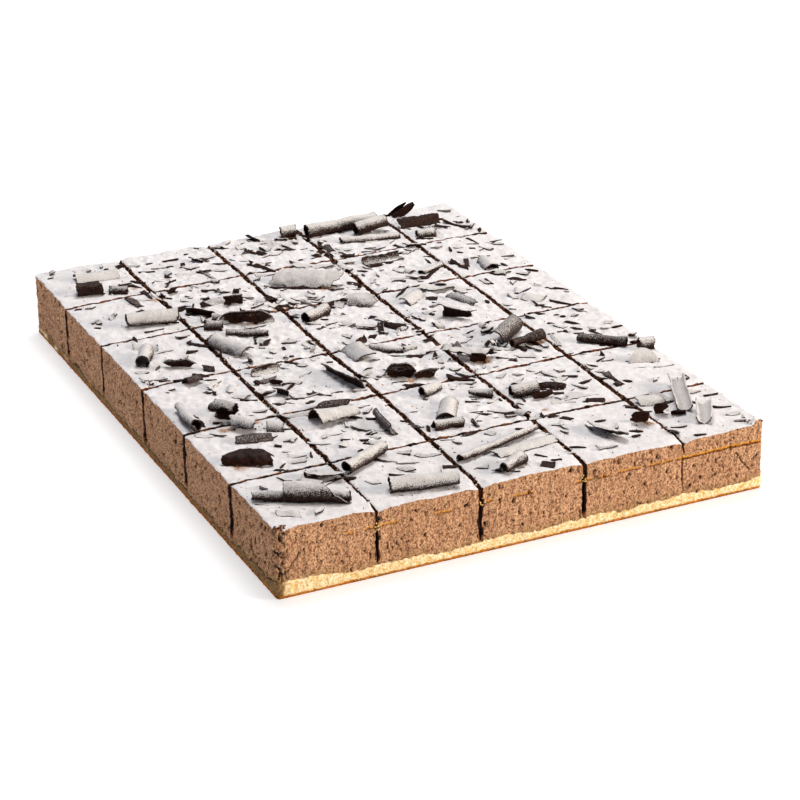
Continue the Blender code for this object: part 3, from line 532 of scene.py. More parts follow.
def sugar_left(x, y):
    """How much of the sugar is left where it lies thin, 1 elsewhere."""
    thin = max(math.exp(-((x - a) ** 2 + (y - b) ** 2) / reach ** 2) for a, b, reach in THIN_SUGAR)
    return 1 - 0.62 * thin


def side_place(lines, index, cut, along):
    """Where a side of a portion lies at a place along a line of the cake. The cut's width is
    positive for the portion behind or right of the line, and negative for the other one."""
    if index in (0, len(lines) - 1):
        torn = 0.3 + 0.45 * rough(along, lines[index], 0.0, 4.5) + 0.4 * rough(along, lines[index], 3.0, 1.5)
        return lines[index] + (max(0.0, torn) if index == 0 else -max(0.0, torn))
    nibbled = 0.5 * rough(along, lines[index], math.copysign(9.0, cut), 4.0) \
        + 0.35 * rough(along, lines[index], math.copysign(9.0, cut), 1.7)
    return lines[index] + cut / 2 + wander(lines[index], along) + nibbled


def rounded(small, large, radius):
    """Move a point near a corner, given by its distances from both sides, inside the rounding."""
    inset = min(small, large)
    turn_radius = radius - inset
    if turn_radius <= 0 or max(small, large) >= radius:
        return small, large, 0.0
    angle = math.radians(45) * (1 - (max(small, large) - inset) / turn_radius)
    low = inset + turn_radius * (1 - math.cos(angle))
    high = inset + turn_radius * (1 - math.sin(angle))
    return (low, high, angle) if small <= large else (high, low, angle)


def lip(distance, is_rim):
    """How far the top falls near a cut or the outer rim."""
    radius, drop = (RIM_RADIUS, RIM_DROP) if is_rim else (LIP_RADIUS, LIP_DROP)
    if distance >= radius:
        return 0.0
    return drop * (1 - math.sqrt(1 - (1 - distance / radius) ** 2))


def side_shares(length, cell):
    """Places along a side from 0 to 1, close together at the lips."""
    ends = (0.0, 0.22, 0.5, 0.85, 1.3, 1.9)
    steps = round((length - 2 * ends[-1]) / cell)
    middle = [ends[-1] + (length - 2 * ends[-1]) * k / steps for k in range(1, steps)]
    return [p / length for p in (*ends, *middle, *(length - e for e in reversed(ends)))]


def outer_relief(x, y, z):
    """Height of the cut mousse's torn, porous face, in the direction it faces."""
    broad = 0.5 * rough(x, y, z, 13.0, seed=2.0)
    torn = 0.45 * rough(x, y, z, 2.3, tall=1.3, seed=5.0)
    fine = 0.35 * rough(x, y, z, 1.1, seed=8.0)
    return broad + torn + fine - 1.3 * hollow_share(x, y, z)


def hollow_share(x, y, z):
    """How deep in a pit or crack a place on the outer faces is, 0 to 1."""
    coarse = 0.0
    if x < COLUMN_LINES[0] + LEFT_PITS_DEPTH:
        coarse = 0.06 + 0.1 * math.exp(-((y - ROW_LINES[0]) / LEFT_PITS_REACH) ** 2)
    pit = smooth(0.45, 0.62, rough(x, y, z, 1.6, tall=2.2, seed=12.0) + coarse)
    if coarse:
        pit = max(pit, smooth(0.48, 0.6, rough(x, y, z, 2.6, tall=1.4, seed=15.0) + coarse))
    pitted = near_corner(x, y, 0, PITTED_REACH)
    pit = max(pit, pitted * smooth(-0.05, 0.28, rough(x, y, z, 2.6, tall=1.2, seed=14.0)))
    if y > ROW_LINES[0] + FACE_DEPTH or abs(x) < 120:
        return pit
    off = min(distance_to(x, z, *crack) for crack in FRONT_CRACKS)
    return max(pit, 0.9 * math.exp(-(off / 0.55) ** 2))


def distance_to(x, z, start, end):
    """Distance of a point from a straight line between two others."""
    run, rise = end[0] - start[0], end[1] - start[1]
    share = ((x - start[0]) * run + (z - start[1]) * rise) / (run * run + rise * rise)
    share = min(1.0, max(0.0, share))
    return math.hypot(x - start[0] - share * run, z - start[1] - share * rise)


def seam_presence(x, y):
    """How much of the thin sponge layer shows along the outer faces."""
    if y < ROW_LINES[0] + FACE_DEPTH:
        ragged = 1.5 * rough(x, y, 0, 2.2, seed=23.0)
        return max(smooth(-0.4, 0.8, min(x - start, end - x) + ragged) for start, end in SEAM_SHOWS)
    if x > COLUMN_LINES[-1] - FACE_DEPTH:
        level = 0.85
    elif x < COLUMN_LINES[0] + FACE_DEPTH:
        level = 0.06
    else:
        level = 0.6
    patches = 0.5 + 0.9 * rough(x, y, 0, 9.0, seed=21.0) + 0.4 * rough(x, y, 0, 3.0, seed=23.0)
    return smooth(-0.1, 0.1, level - patches)


def new_piece(name, bm, material, replaced=()):
    """Turn a bmesh in metres into a finished piece of the cake."""
    mesh = bpy.data.meshes.new(name)
    bm.to_mesh(mesh)
    bm.free()
    mesh.materials.append(material)
    mesh.shade_smooth()
    mesh.set_sharp_from_angle(angle=math.radians(48))
    piece = bpy.data.objects.new(name, mesh)
    bpy.context.scene.collection.objects.link(piece)
    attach(piece, "root")
    if replaced:
        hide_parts(*replaced)
    return piece


@dataclass
class Spot:
    """A place on a portion's top, and how it lies to the portion's nearest sides. A side is an
    outer face of the cake, here called a rim, or one side of a cut."""
    x: float
    y: float
    side_x: float
    side_y: float
    rim_x: bool
    rim_y: bool
    in_front: bool
    out_x: float
    out_y: float
    on_rim: bool
    line: int
    z: float = 0.0
    to_column: float = 0.0
    to_row: float = 0.0

    @property
    def to_rim(self):
        """Distance to the nearest outer face of the cake."""
        return min(self.side_x if self.rim_x else FAR, self.side_y if self.rim_y else FAR)

    @property
    def is_sideways(self):
        """Whether the nearest side faces left or right rather than front or back."""
        return abs(self.out_x) > abs(self.out_y)


def find_spot(column, row, across, along):
    """The place on a portion's top at these shares of its width and depth."""
    x = COLUMN_LINES[column] + (COLUMN_LINES[column + 1] - COLUMN_LINES[column]) * across
    y = ROW_LINES[row] + (ROW_LINES[row + 1] - ROW_LINES[row]) * along
    low_x = side_place(COLUMN_LINES, column, column_cut(column, y), y)
    high_x = side_place(COLUMN_LINES, column + 1, -column_cut(column + 1, y), y)
    low_y = side_place(ROW_LINES, row, ROW_CUT, x)
    high_y = side_place(ROW_LINES, row + 1, -ROW_CUT, x)
    at_left, at_near = across < 0.5, along < 0.5
    side_x = (high_x - low_x) * (across if at_left else 1 - across)
    side_y = (high_y - low_y) * (along if at_near else 1 - along)
    rim_x = column == 0 if at_left else column == LAST_COLUMN
    rim_y = row == 0 if at_near else row == LAST_ROW
    radius = CAKE_CORNER_RADIUS if rim_x and rim_y else CUT_CORNER_RADIUS
    moved_x, moved_y, angle = rounded(side_x, side_y, radius)
    out_x = -1.0 if across == 0 else 1.0 if across == 1 else 0.0
    out_y = -1.0 if along == 0 else 1.0 if along == 1 else 0.0
    if angle:
        big, small = math.cos(angle), math.sin(angle)
        out_x = (out_x or (-1.0 if at_left else 1.0)) * (big if side_x <= side_y else small)
        out_y = (out_y or (-1.0 if at_near else 1.0)) * (small if side_x <= side_y else big)
    return Spot(x=low_x + moved_x if at_left else high_x - moved_x,
                y=low_y + moved_y if at_near else high_y - moved_y,
                side_x=side_x, side_y=side_y, rim_x=rim_x, rim_y=rim_y, in_front=at_near,
                out_x=out_x, out_y=out_y, line=column if at_left else column + 1,
                on_rim=(rim_x and side_x < radius) or (rim_y and side_y < radius))


def edge_drop(spot):
    """How far the top falls towards the cuts, the outer rim and the corners."""
    drop = lip(spot.side_x, spot.rim_x) + lip(spot.side_y, spot.rim_y)
    if spot.side_x < LIP_RADIUS and not spot.rim_x or spot.side_y < LIP_RADIUS and not spot.rim_y:
        drop += 0.5 * max(0.0, rough(spot.x, spot.y, 0, 1.6, seed=3.0))
    near = math.exp(-(math.hypot(spot.side_x, spot.side_y) / CORNER_DIP_REACH) ** 2)
    if spot.rim_x or spot.rim_y:
        drop += RIM_WAVE * math.sin((spot.x + 2 * spot.y) / 5.0) * math.exp(-spot.to_rim / 2.0)
    if spot.rim_x != spot.rim_y:
        drop += RIM_CORNER_DROP * (1.0 if spot.rim_y and spot.in_front else 0.45) * near
    if spot.rim_x and spot.rim_y:
        drop += CAKE_CORNER_DROP * near
    return drop


def top_relief(x, y, crowd):
    """Height of the bumps in the sugar, of what it buries, and of the broken front corners."""
    bump = 0.3 * rough(x, y, 0, 9.0) + 0.12 * rough(x, y, 0, 2.4)
    buried = smooth(-0.02, 0.1, rough(x, y, 0, 6.0, seed=81.0)) + 1.1 * rough(x, y, 0, 3.0, seed=83.0)
    bump += BURIED_HEIGHT * crowd * buried
    bump += near_corner(x, y, -1, TORN_REACH) * (0.9 + 2.4 * rough(x, y, 0, 2.2, seed=67.0))
    bump += 1.6 * near_corner(x, y, 0, CRUMBLY_REACH) * rough(x, y, 0, 2.0, seed=91.0)
    off_x, off_y = (x - TORN_POINT[0]) / TORN_POINT_HALF[0], (y - TORN_POINT[1]) / TORN_POINT_HALF[1]
    return bump + TORN_POINT_HEIGHT * max(0.0, 1 - math.hypot(off_x, off_y))


def measure_cuts(spot):
    """Note how far a place is from the cuts, counting narrow cuts as further away."""
    share = 0.35 + 0.65 * column_cut(spot.line, spot.y) / COLUMN_CUT
    row_share = 0.75 + 0.7 * rough(spot.x, spot.y, 0, 7.0, seed=63.0)
    if spot.rim_x and spot.side_x < 3:
        row_share = 1.0
    spot.to_column = FAR if spot.rim_x else spot.side_x / share
    spot.to_row = FAR if spot.rim_y else spot.side_y / row_share


def cover_top(vert, spot, layers, openness):
    """Set how much sugar lies at a place on the top, and the painted shade beside a cut."""
    x, y = spot.x, spot.y
    cover = min(smooth(0.35, 1.25, spot.to_column), smooth(0.3, 1.1, spot.to_row),
                smooth(-0.4, 0.5, spot.to_rim))
    # Less sugar where curls and flakes shelter the top, so the brown shows; this also stands as painted shade
    # beneath them
    cover *= (0.54 + 0.46 * openness(vert.co, Vector((0, 0, 1)))) * sugar_left(x, y)
    torn = near_corner(x, y, -1, TORN_REACH) + 0.5 * rough(x, y, 0, 2.6, seed=67.0)
    cover *= 1 - smooth(0.3, 0.6, torn - 0.12 * max(0.0, y - ROW_LINES[0] - 1.5))
    crumbly = near_corner(x, y, 0, CRUMBLY_REACH) + 0.6 * rough(x, y, 0, 2.3, seed=93.0)
    vert[layers["sugar"]] = cover * (1 - smooth(0.25, 0.5, crumbly))
    # Painted shade at the lips beside the cuts, patchy along the rows
    row_cut_shade = 0.7 + 0.7 * rough(x, y, 0, 3.5, seed=61.0)
    vert[layers["cut"]] = max(0.85 - 0.85 * smooth(0.2, 1.6, spot.to_column),
                              row_cut_shade * (1 - smooth(0.4, 1.4, spot.to_row)))
    vert[layers["seam"]] = TOP_SEAM


def shape_outer_face(vert, spot, height, held, sway, layers):
    """A point of an outer face: torn foam with pits, the sponge seam, smears and the cuts' ends."""
    x, y = spot.x, spot.y
    to_cut = min(spot.to_column, spot.to_row)
    sway *= 0.0 if spot.is_sideways else math.exp(-(to_cut / 3.0) ** 2)
    show = seam_presence(x, y)
    off = height - SEAM_HEIGHT - 0.8 * rough(x, y, 0, 22.0, seed=31.0) - 0.25 * rough(x, y, 0, 4.0, seed=33.0)
    push = held * outer_relief(x, y, height) - 0.35 * show * math.exp(-(off / 0.7) ** 2)
    shown = 1 - (smooth(0.7, 2.0, to_cut) if spot.is_sideways else smooth(0.1, 0.9, to_cut))
    over_sponge = height - boundary_height(x, y)
    level = 0.55 if y < ROW_LINES[0] + FACE_DEPTH and x > -10 else 0.2
    patches = 0.5 + 0.9 * rough(x, y, height, 7.0, seed=41.0)
    vert[layers["seam"]] = off
    vert[layers["seam_show"]] = show * (0.72 + 0.28 * smooth(78.0, 90.0, x))
    # Painted shade where a cut opens on the outer face
    vert[layers["cut"]] = 0.95 * shown * smooth(*cut_closes_at(spot.line, y), height)
    vert[layers["hollow"]] = hollow_share(x, y, height)
    just_over = math.exp(-(over_sponge - 1.5) ** 2 / 3.0)
    vert[layers["smear"]] = just_over * smooth(0.45 - level, 0.8 - level, patches)
    return push, sway


def shape_cut_side(vert, spot, height, held, sway, layers):
    """A point of the knife's side of a cut, which closes towards the sponge."""
    x, y = spot.x, spot.y
    push = 0.5 * held * rough(x, y, height, 2.0, tall=1.6, seed=6.0)
    gap = column_cut(spot.line, y) if spot.is_sideways else ROW_CUT
    push += (gap / 2 - 0.05) * (1 - smooth(*cut_closes_at(spot.line, y), height))
    below = spot.z - height
    # Painted shade on the cut's side: dark in the column cuts, darker further below the lip in the row cuts,
    # lighter for the top few millimetres near the front face
    if spot.is_sideways:
        cut_shade = 0.8 + 0.2 * smooth(0.0, 2.0, below)
    else:
        cut_shade = 0.5 + 0.5 * smooth(0.8, 3.0, below)
    if y < ROW_LINES[0] + 7:
        cut_shade *= 0.4 + 0.6 * smooth(4.0, 10.0, below)
    vert[layers["seam"]] = height - SEAM_HEIGHT
    vert[layers["seam_show"]] = 0.6
    vert[layers["cut"]] = cut_shade
    return push, sway * abs(spot.out_x)


def shape_wall(vert, spot, share, layers):
    """A point of a portion's side, at a share of the way down from its lip to the sponge."""
    floor = boundary_height(spot.x, spot.y) if spot.on_rim else SPONGE_HEIGHT
    height = spot.z + (floor + 0.02 - spot.z) * share
    held = min(1.0, (spot.z - height) / 1.2)
    line = COLUMN_LINES[spot.line]
    sway = 1.6 * held * rough(line, 0.0, height, 8.0, seed=71.0) \
        + 0.5 * held * rough(line, 0.0, height, 2.5, seed=73.0)
    shape = shape_outer_face if spot.on_rim else shape_cut_side
    push, sway = shape(vert, spot, height, held, sway, layers)
    vert[layers["sugar"]] = 0.0
    vert.co = Vector((spot.x + spot.out_x * push + sway, spot.y + spot.out_y * push, height)) * MM


def grow_wall(bm, loop, carried, rows, shape):
    """Grow a wall from a loop of edges row by row, and close its end. A new corner carries on what
    the corner that it grew from carries, and shape places it."""
    for k in range(1, rows + 1):
        grown = bmesh.ops.extrude_edge_only(bm, edges=loop)["geom"]
        onward = {}
        for vert in (item for item in grown if isinstance(item, bmesh.types.BMVert)):
            source = next(e.other_vert(vert) for e in vert.link_edges if e.other_vert(vert) in carried)
            onward[vert] = carried[source]
            shape(vert, carried[source], k)
        carried = onward
        loop = [item for item in grown if isinstance(item, bmesh.types.BMEdge)
                and item.verts[0] in onward and item.verts[1] in onward]
    bmesh.ops.contextual_create(bm, geom=loop)
    bmesh.ops.recalc_face_normals(bm, faces=bm.faces[:])


def make_portion(column, row, openness):
    """One portion of mousse: sugared top, rounded lips, torn and porous outer faces."""
    cell = FRONT_CELL if row == 0 else CELL
    across = side_shares(COLUMN_LINES[column + 1] - COLUMN_LINES[column], cell)
    along = side_shares(ROW_LINES[row + 1] - ROW_LINES[row], cell)
    crowd = 0.15 + 0.85 * min(1.0, FLAKES_PER_PORTION[row][column] / CROWDED_FROM)
    bm = bmesh.new()
    layers = {name: bm.verts.layers.float.new(name)
              for name in ("sugar", "seam", "seam_show", "smear", "cut", "hollow")}
    bmesh.ops.create_grid(bm, x_segments=len(across) - 1, y_segments=len(along) - 1, size=0.5)
    edge = {}
    for vert in bm.verts:
        i = round((vert.co.x + 0.5) * (len(across) - 1))
        j = round((vert.co.y + 0.5) * (len(along) - 1))
        spot = find_spot(column, row, across[i], along[j])
        spot.z = surface_height(spot.x, spot.y) - edge_drop(spot) + top_relief(spot.x, spot.y, crowd)
        measure_cuts(spot)
        vert.co = Vector((spot.x, spot.y, spot.z)) * MM
        cover_top(vert, spot, layers, openness)
        if vert.is_boundary:
            edge[vert] = spot
    has_rim = column in (0, LAST_COLUMN) or row in (0, LAST_ROW)
    rows = FRONT_WALL_ROWS if row == 0 else WALL_ROWS if has_rim else INNER_WALL_ROWS
    grow_wall(bm, [e for e in bm.edges if e.is_boundary], edge, rows,
              lambda vert, spot, k: shape_wall(vert, spot, k / rows, layers))
    return bm


def outline_place(run):
    """A place on the cake's outline and the way it faces, at a distance from the left front corner."""
    half_x, half_y = CAKE_WIDTH / 2, CAKE_DEPTH / 2
    if run < CAKE_WIDTH:
        x, y, out = run - half_x, -half_y, (0.0, -1.0)
    elif run < CAKE_WIDTH + CAKE_DEPTH:
        x, y, out = half_x, run - CAKE_WIDTH - half_y, (1.0, 0.0)
    elif run < 2 * CAKE_WIDTH + CAKE_DEPTH:
        x, y, out = half_x - (run - CAKE_WIDTH - CAKE_DEPTH), half_y, (0.0, 1.0)
    else:
        x, y, out = -half_x, half_y - (run - 2 * CAKE_WIDTH - CAKE_DEPTH), (-1.0, 0.0)
    side_x, side_y = half_x - abs(x), half_y - abs(y)
    moved_x, moved_y, angle = rounded(side_x, side_y, CAKE_CORNER_RADIUS)
    if angle:
        big, small = math.cos(angle), math.sin(angle)
        out = (math.copysign(big if side_x <= side_y else small, x),
               math.copysign(small if side_x <= side_y else big, y))
    return math.copysign(half_x - moved_x, x), math.copysign(half_y - moved_y, y), *out


def shape_sponge(vert, place, k, smear):
    """A point of the sponge's crumbly side, in a row counted from the underside. The last row
    lies inside, under the mousse."""
    x, y, out_x, out_y = place
    height = boundary_height(x, y) * k / (SPONGE_ROWS - 1)
    push = 0.5 * rough(x, y, height, 2.3, seed=51.0) + 0.35 * rough(x, y, height, 1.1, seed=53.0)
    push -= 0.25 * math.exp(-height / 0.4)
    if k == SPONGE_ROWS:
        height = boundary_height(x, y) + 0.3
        push = -1.5
    patches = 0.5 + 0.9 * rough(x, y, height, 11.0, seed=57.0)
    vert[smear] = on_left_face(x) * smooth(0.1, 0.6, patches + 0.5 * smooth(190, 60, y))
    if x < COLUMN_LINES[0] + 6 and y < ROW_LINES[0] + FACE_DEPTH:
        vert[smear] = max(vert[smear], smooth(-134.5, -137.0, x + 2 * rough(x, y, height, 3.0)))
    vert.co = Vector((x + out_x * push, y + out_y * push, height)) * MM


def make_sponge():
    """The uncut sheet of sponge: crumbly outer faces on a browned underside."""
    outline = 2 * (CAKE_WIDTH + CAKE_DEPTH)
    bm = bmesh.new()
    smear = bm.verts.layers.float.new("smear")
    bmesh.ops.create_circle(bm, cap_ends=True, radius=1.0, segments=round(outline / SPONGE_CELL))
    edge = {}
    for vert in bm.verts:
        x, y, out_x, out_y = outline_place((math.atan2(vert.co.y, vert.co.x) / math.tau % 1.0) * outline)
        edge[vert] = x, y, out_x, out_y
        vert.co = Vector((x - out_x * 0.5, y - out_y * 0.5, 0.0)) * MM
    grow_wall(bm, bm.edges[:], edge, SPONGE_ROWS,
              lambda vert, place, k: shape_sponge(vert, place, k, smear))
    return bm


# Shaved chocolate

def sheet_point(u, v, length, radius, end_radius, sweep, turn, slant, leaf, crest):
    """A point of a curl's middle surface: u runs along the axis, v round it."""
    narrow = 1.0 - (leaf + crest) * (2 * u - 1) ** 2
    share = 0.5 - (1.0 - v) * narrow if crest else (v - 0.5) * narrow
    angle = math.radians(turn + sweep * share)
    r = radius + (end_radius - radius) * u
    if sweep > 350:
        r -= (SHEET_THICKNESS + SPIRAL_CLEARANCE) * v * sweep / 360
    x = (u - 0.5) * length + slant * u * (0.5 - v)
    return Vector((x, r * math.sin(angle), r * math.cos(angle)))


def bite(along, seed, depth):
    """How far a broken edge of chocolate is chipped back at a place along it."""
    wide = noise.noise(Vector((along / 4.5, seed, 1.0)))
    fine = noise.noise(Vector((along / 1.3, seed, 7.0)))
    return depth * (0.25 + max(0.0, 1.6 * wide) + 0.5 * fine)


def thicken(bm, faces, thickness):
    """Close an open sheet to a thin solid, and return the corners of its new side."""
    grown = bmesh.ops.extrude_face_region(bm, geom=faces)["geom"]
    skin = {item for item in grown if isinstance(item, bmesh.types.BMFace)}
    corners = [item for item in grown if isinstance(item, bmesh.types.BMVert)]
    for face in skin:
        face.normal_update()
    offsets = [sum((face.normal for face in vert.link_faces if face in skin), Vector()) for vert in corners]
    for vert, offset in zip(corners, offsets):
        vert.co += offset.normalized() * thickness
    closed = dict.fromkeys([*faces, *(face for vert in corners for face in vert.link_faces)])
    bmesh.ops.recalc_face_normals(bm, faces=list(closed))
    return corners


def shave(name, x, y, yaw, length, radius, end_radius=None, sweep=320, turn=0, pitch=0,
          slant=0, leaf=0, crest=0, dust=1.0, cell=CURL_CELL, ragged=0.8, sink=RESTS_IN_SUGAR):
    """A thin shaved sheet of chocolate with chipped edges, rolled up and laid on the cake."""
    end_radius = end_radius or radius
    arc = math.radians(sweep) * max(radius, end_radius)
    along, around = max(5, round(length / (1.4 * cell))), max(5, round(arc / cell))
    seed = sum(ord(letter) for letter in name) * 0.37
    bow = 1.0 * noise.noise(Vector((seed, 3.0, 5.0)))
    oblique = 0.35 * radius * noise.noise(Vector((seed, 13.0, 5.0))) / length * 4
    shape = (length, radius, end_radius, sweep, turn, slant, leaf, crest)
    bm = bmesh.new()
    dusting = bm.verts.layers.float.new("dust")
    bmesh.ops.create_grid(bm, x_segments=along, y_segments=around, size=0.5)
    for vert in bm.verts:
        u, v = vert.co.x + 0.5, vert.co.y + 0.5
        end_bite = bite(v * arc, seed + (0 if u < 0.5 else 9), ragged * 1.3) / length
        edge_bite = bite(u * length, seed + (20 if v < 0.5 else 31), ragged) / arc
        u = 0.5 + (u - 0.5) * (1 - 2 * end_bite) + oblique * (v - 0.5) * abs(2 * u - 1)
        v = 0.5 + (v - 0.5) * (1 - 2 * edge_bite)
        point = sheet_point(u, v, *shape)
        wave = 0.8 * noise.noise(Vector((point.x / 9 + seed, point.y / 6, point.z / 6))) \
            + 0.3 * noise.noise(Vector((point.x / 3 + seed, point.y / 2.5, point.z / 2.5)))
        around_axis = Vector((0, point.y, point.z)).normalized()
        vert.co = point + around_axis * wave
        vert.co.y += bow * (2 * u - 1) ** 2 * length / 30
        vert[dusting] = dust * (RIM_DUST if vert.is_boundary else 1.0)
    bmesh.ops.recalc_face_normals(bm, faces=bm.faces[:])
    thicken(bm, bm.faces[:], SHAVING)
    turned = Euler((0, -math.radians(pitch), math.radians(yaw))).to_matrix().to_4x4()
    bmesh.ops.transform(bm, matrix=turned, verts=bm.verts[:])
    rest = min(v.co.z - surface_height(v.co.x + x, v.co.y + y) for v in bm.verts)
    place = Matrix.Scale(MM, 4) @ Matrix.Translation((x, y, -rest - sink))
    bmesh.ops.transform(bm, matrix=place, verts=bm.verts[:])
    return bm


def near_a_curl(x, y, spacing):
    """Whether a place lies under or beside one of the curls."""
    for curl in CURLS + SMALL_CURLS:
        yaw = math.radians(curl["yaw"])
        dx = x - curl["x"]
        dy = y - curl["y"]
        along = dx * math.cos(yaw) + dy * math.sin(yaw)
        across = dy * math.cos(yaw) - dx * math.sin(yaw)
        reach = curl["length"] / 2 + abs(curl.get("slant", 0)) / 2
        if abs(along) < reach + spacing and abs(across) < curl["radius"] + spacing:
            return True
    return False


def chip_places():
    """Place, size and turn of the chips, drawn in the same order as in the CAD."""
    rng = random.Random(CHIP_SEED)
    for row in range(len(ROW_DEPTHS)):
        for column in range(len(COLUMN_WIDTHS)):
            placed = []
            for _ in range(200):
                if len(placed) == CHIPS_PER_PORTION:
                    break
                x = rng.uniform(COLUMN_LINES[column] + CHIP_MARGIN, COLUMN_LINES[column + 1] - CHIP_MARGIN)
                y = rng.uniform(ROW_LINES[row] + CHIP_MARGIN, ROW_LINES[row + 1] - CHIP_MARGIN)
                if near_a_curl(x, y, CHIP_TO_CURL):
                    continue
                if any(math.hypot(x - a, y - b) < CHIP_SPACING for a, b in placed):
                    continue
                placed.append((x, y))
                length, width = rng.uniform(*CHIP_LENGTH), rng.uniform(*CHIP_WIDTH)
                tilt = rng.uniform(6, 16)
                side = rng.choice((-1, 1))
                yield x, y, length, width, tilt * side, tilt * 0.5, math.degrees(rng.uniform(0, math.pi))


def add_flake(bm, rng, x, y, yaw, length, width, roll=0.0, pitch=0.0, bend=0.0, dust=1.0,
              thickness=FLAKE_THICKNESS, lift=FLAKE_LIFT):
    """One small broken flake, tapered and ragged. Its sides turn up round a radius of bend, or
    down where bend is below zero."""
    dusting = bm.verts.layers.float["dust"]
    columns, rows = max(4, round(length / 1.6)), 5 if bend and width > abs(bend) else 3
    made = bmesh.ops.create_grid(bm, x_segments=columns, y_segments=rows, size=0.5)["verts"]
    taper = rng.choice((0.0, 0.3, 0.6, 0.9))
    pointed = rng.choice((0.0, 0.0, 0.5, 0.85))
    curl_up = rng.uniform(-0.02, 0.05)
    twist = rng.uniform(-0.25, 0.25)
    skew = rng.uniform(-0.5, 0.5)
    for vert in made:
        u, v = vert.co.x, vert.co.y
        narrow = (1 - taper * (u + 0.5)) * (1 - pointed * (2 * u) ** 2)
        edge = 2 * max(abs(u), abs(v))
        along = u * length * (1 + 0.12 * edge * rng.uniform(-1, 1)) + skew * v * width
        across = v * width * max(0.08, narrow) * (1 + 0.22 * edge * rng.uniform(-1, 1))
        height = twist * u * across + curl_up * along * along / 3
        if bend:
            turned = across / abs(bend)
            across = abs(bend) * math.sin(turned)
            height += bend * (1 - math.cos(turned))
        vert.co = Vector((along, across, height))
        vert[dusting] = dust * (FLAKE_RIM_DUST if edge > 0.99 else 1.0)
    faces = list(dict.fromkeys(face for vert in made for face in vert.link_faces))
    made += thicken(bm, faces, thickness)
    turned = Euler((math.radians(roll), math.radians(pitch), math.radians(yaw))).to_matrix().to_4x4()
    bmesh.ops.transform(bm, matrix=turned, verts=made)
    low = sorted(vert.co.z for vert in made)[len(made) // 8]
    rest = surface_height(x, y) - low - FLAKE_SINK + lift
    place = Matrix.Scale(MM, 4) @ Matrix.Translation((x, y, rest))
    bmesh.ops.transform(bm, matrix=place, verts=made)


def loose_flake(rng):
    """Size, tilt and dust of a loose flake: a broken sheet, a thin shred or a small scroll."""
    kind = rng.random()
    length = 2.5 + 7.0 * rng.random() ** 1.6
    yaw = rng.gauss(-22, 48)
    if kind < SHEETS:
        flake = dict(width=min(7.5, length * rng.uniform(0.4, 0.95)), roll=rng.gauss(-14, 22),
                     bend=rng.choice((-1, -1, 1)) * rng.uniform(2.8, 7.0),
                     thickness=THIN_FLAKE_THICKNESS)
    elif kind < SHEETS_AND_SHREDS:
        flake = dict(width=rng.uniform(0.9, 2.0), roll=rng.gauss(0, 25), bend=0.0)
    else:
        radius = rng.uniform(1.4, 2.8)
        flake = dict(width=radius * rng.uniform(1.8, 3.4), roll=rng.gauss(-15, 35),
                     bend=rng.choice((-1, -1, 1)) * radius)
    is_bare = rng.random() < (0.6 if SHEETS <= kind < SHEETS_AND_SHREDS else 0.24)
    return dict(flake, length=length, yaw=yaw, pitch=rng.gauss(0, 5),
                dust=BARE_DUST if is_bare else 1.0, lift=rng.uniform(0.0, 0.5))


def empty_with_dust():
    """An empty mesh whose corners carry dust."""
    bm = bmesh.new()
    bm.verts.layers.float.new("dust")
    return bm


def add_seen_flakes(rng, dusted, bare):
    """The chips, and the flakes that can be made out one by one in the photo."""
    for x, y, length, width, roll, pitch, yaw in chip_places():
        add_flake(dusted, rng, x, y, yaw, length, width, roll, pitch, rng.choice((-5.0, 6.0)),
                  thickness=CHIP_THICKNESS)
    for x, y, yaw, length, width, dust, *rest in FLAKES:
        roll, bend = (*rest, 0.0, 0.0)[:2]
        is_bare = dust < BARE_BELOW
        lean = rng.uniform(2.0, 13.0)
        add_flake(bare if is_bare else dusted, rng, x, y, yaw, length, width,
                  roll=roll if roll or is_bare else -lean, bend=bend, dust=dust,
                  thickness=FLAKE_THICKNESS if is_bare else THIN_FLAKE_THICKNESS,
                  lift=FLAKE_LIFT if is_bare else 0.0)


def add_loose_flakes(rng, dusted, bare):
    """Small flakes drawn at random on each portion, clear of the curls and the flakes seen."""
    for row, counts in enumerate(FLAKES_PER_PORTION):
        for column, count in enumerate(counts):
            for _ in range(count):
                x = rng.uniform(COLUMN_LINES[column] + 1.5, COLUMN_LINES[column + 1] - 1.5)
                y = rng.uniform(ROW_LINES[row] + 1.5, ROW_LINES[row + 1] - 1.5)
                flake = loose_flake(rng)
                inside = min(x - COLUMN_LINES[0], COLUMN_LINES[-1] - x, y - ROW_LINES[0], ROW_LINES[-1] - y)
                if near_a_curl(x, y, 0.5) or inside < flake["length"] / 2 + 0.5:
                    continue
                if any(math.hypot(x - other[0], y - other[1]) < 4.0 for other in FLAKES):
                    continue
                add_flake(bare if flake["dust"] < BARE_BELOW else dusted, rng, x, y, **flake)


def add_lumps(rng, dusted):
    """Sugared lumps along the cuts between the columns and round the curls."""
    for index in range(1, LAST_COLUMN + 1):
        for _ in range(LUMPS_ALONG_CUT):
            y = rng.uniform(ROW_LINES[0] + CRUMB_MARGIN, ROW_LINES[-1] - CRUMB_MARGIN)
            side = rng.choice((-1, 1)) * (0.5 * column_cut(index, y) + rng.uniform(0.2, 1.2))
            x = cut_place(index, y) + side
            add_crumb(dusted, rng, x, y, surface_height(x, y) - 0.5, rng.uniform(0.8, 2.2), LUMP_DUST)
    for curl in CURLS + SMALL_CURLS:
        for _ in range(LUMPS_BY_CURL):
            x = curl["x"] + rng.gauss(0, 0.3 * curl["length"])
            y = curl["y"] + rng.gauss(0, 4.0)
            if min(abs(x - line) for line in COLUMN_LINES) > 2 and abs(y) < 188:
                add_crumb(dusted, rng, x, y, surface_height(x, y) + 0.2, rng.uniform(0.7, 1.5), LUMP_DUST)


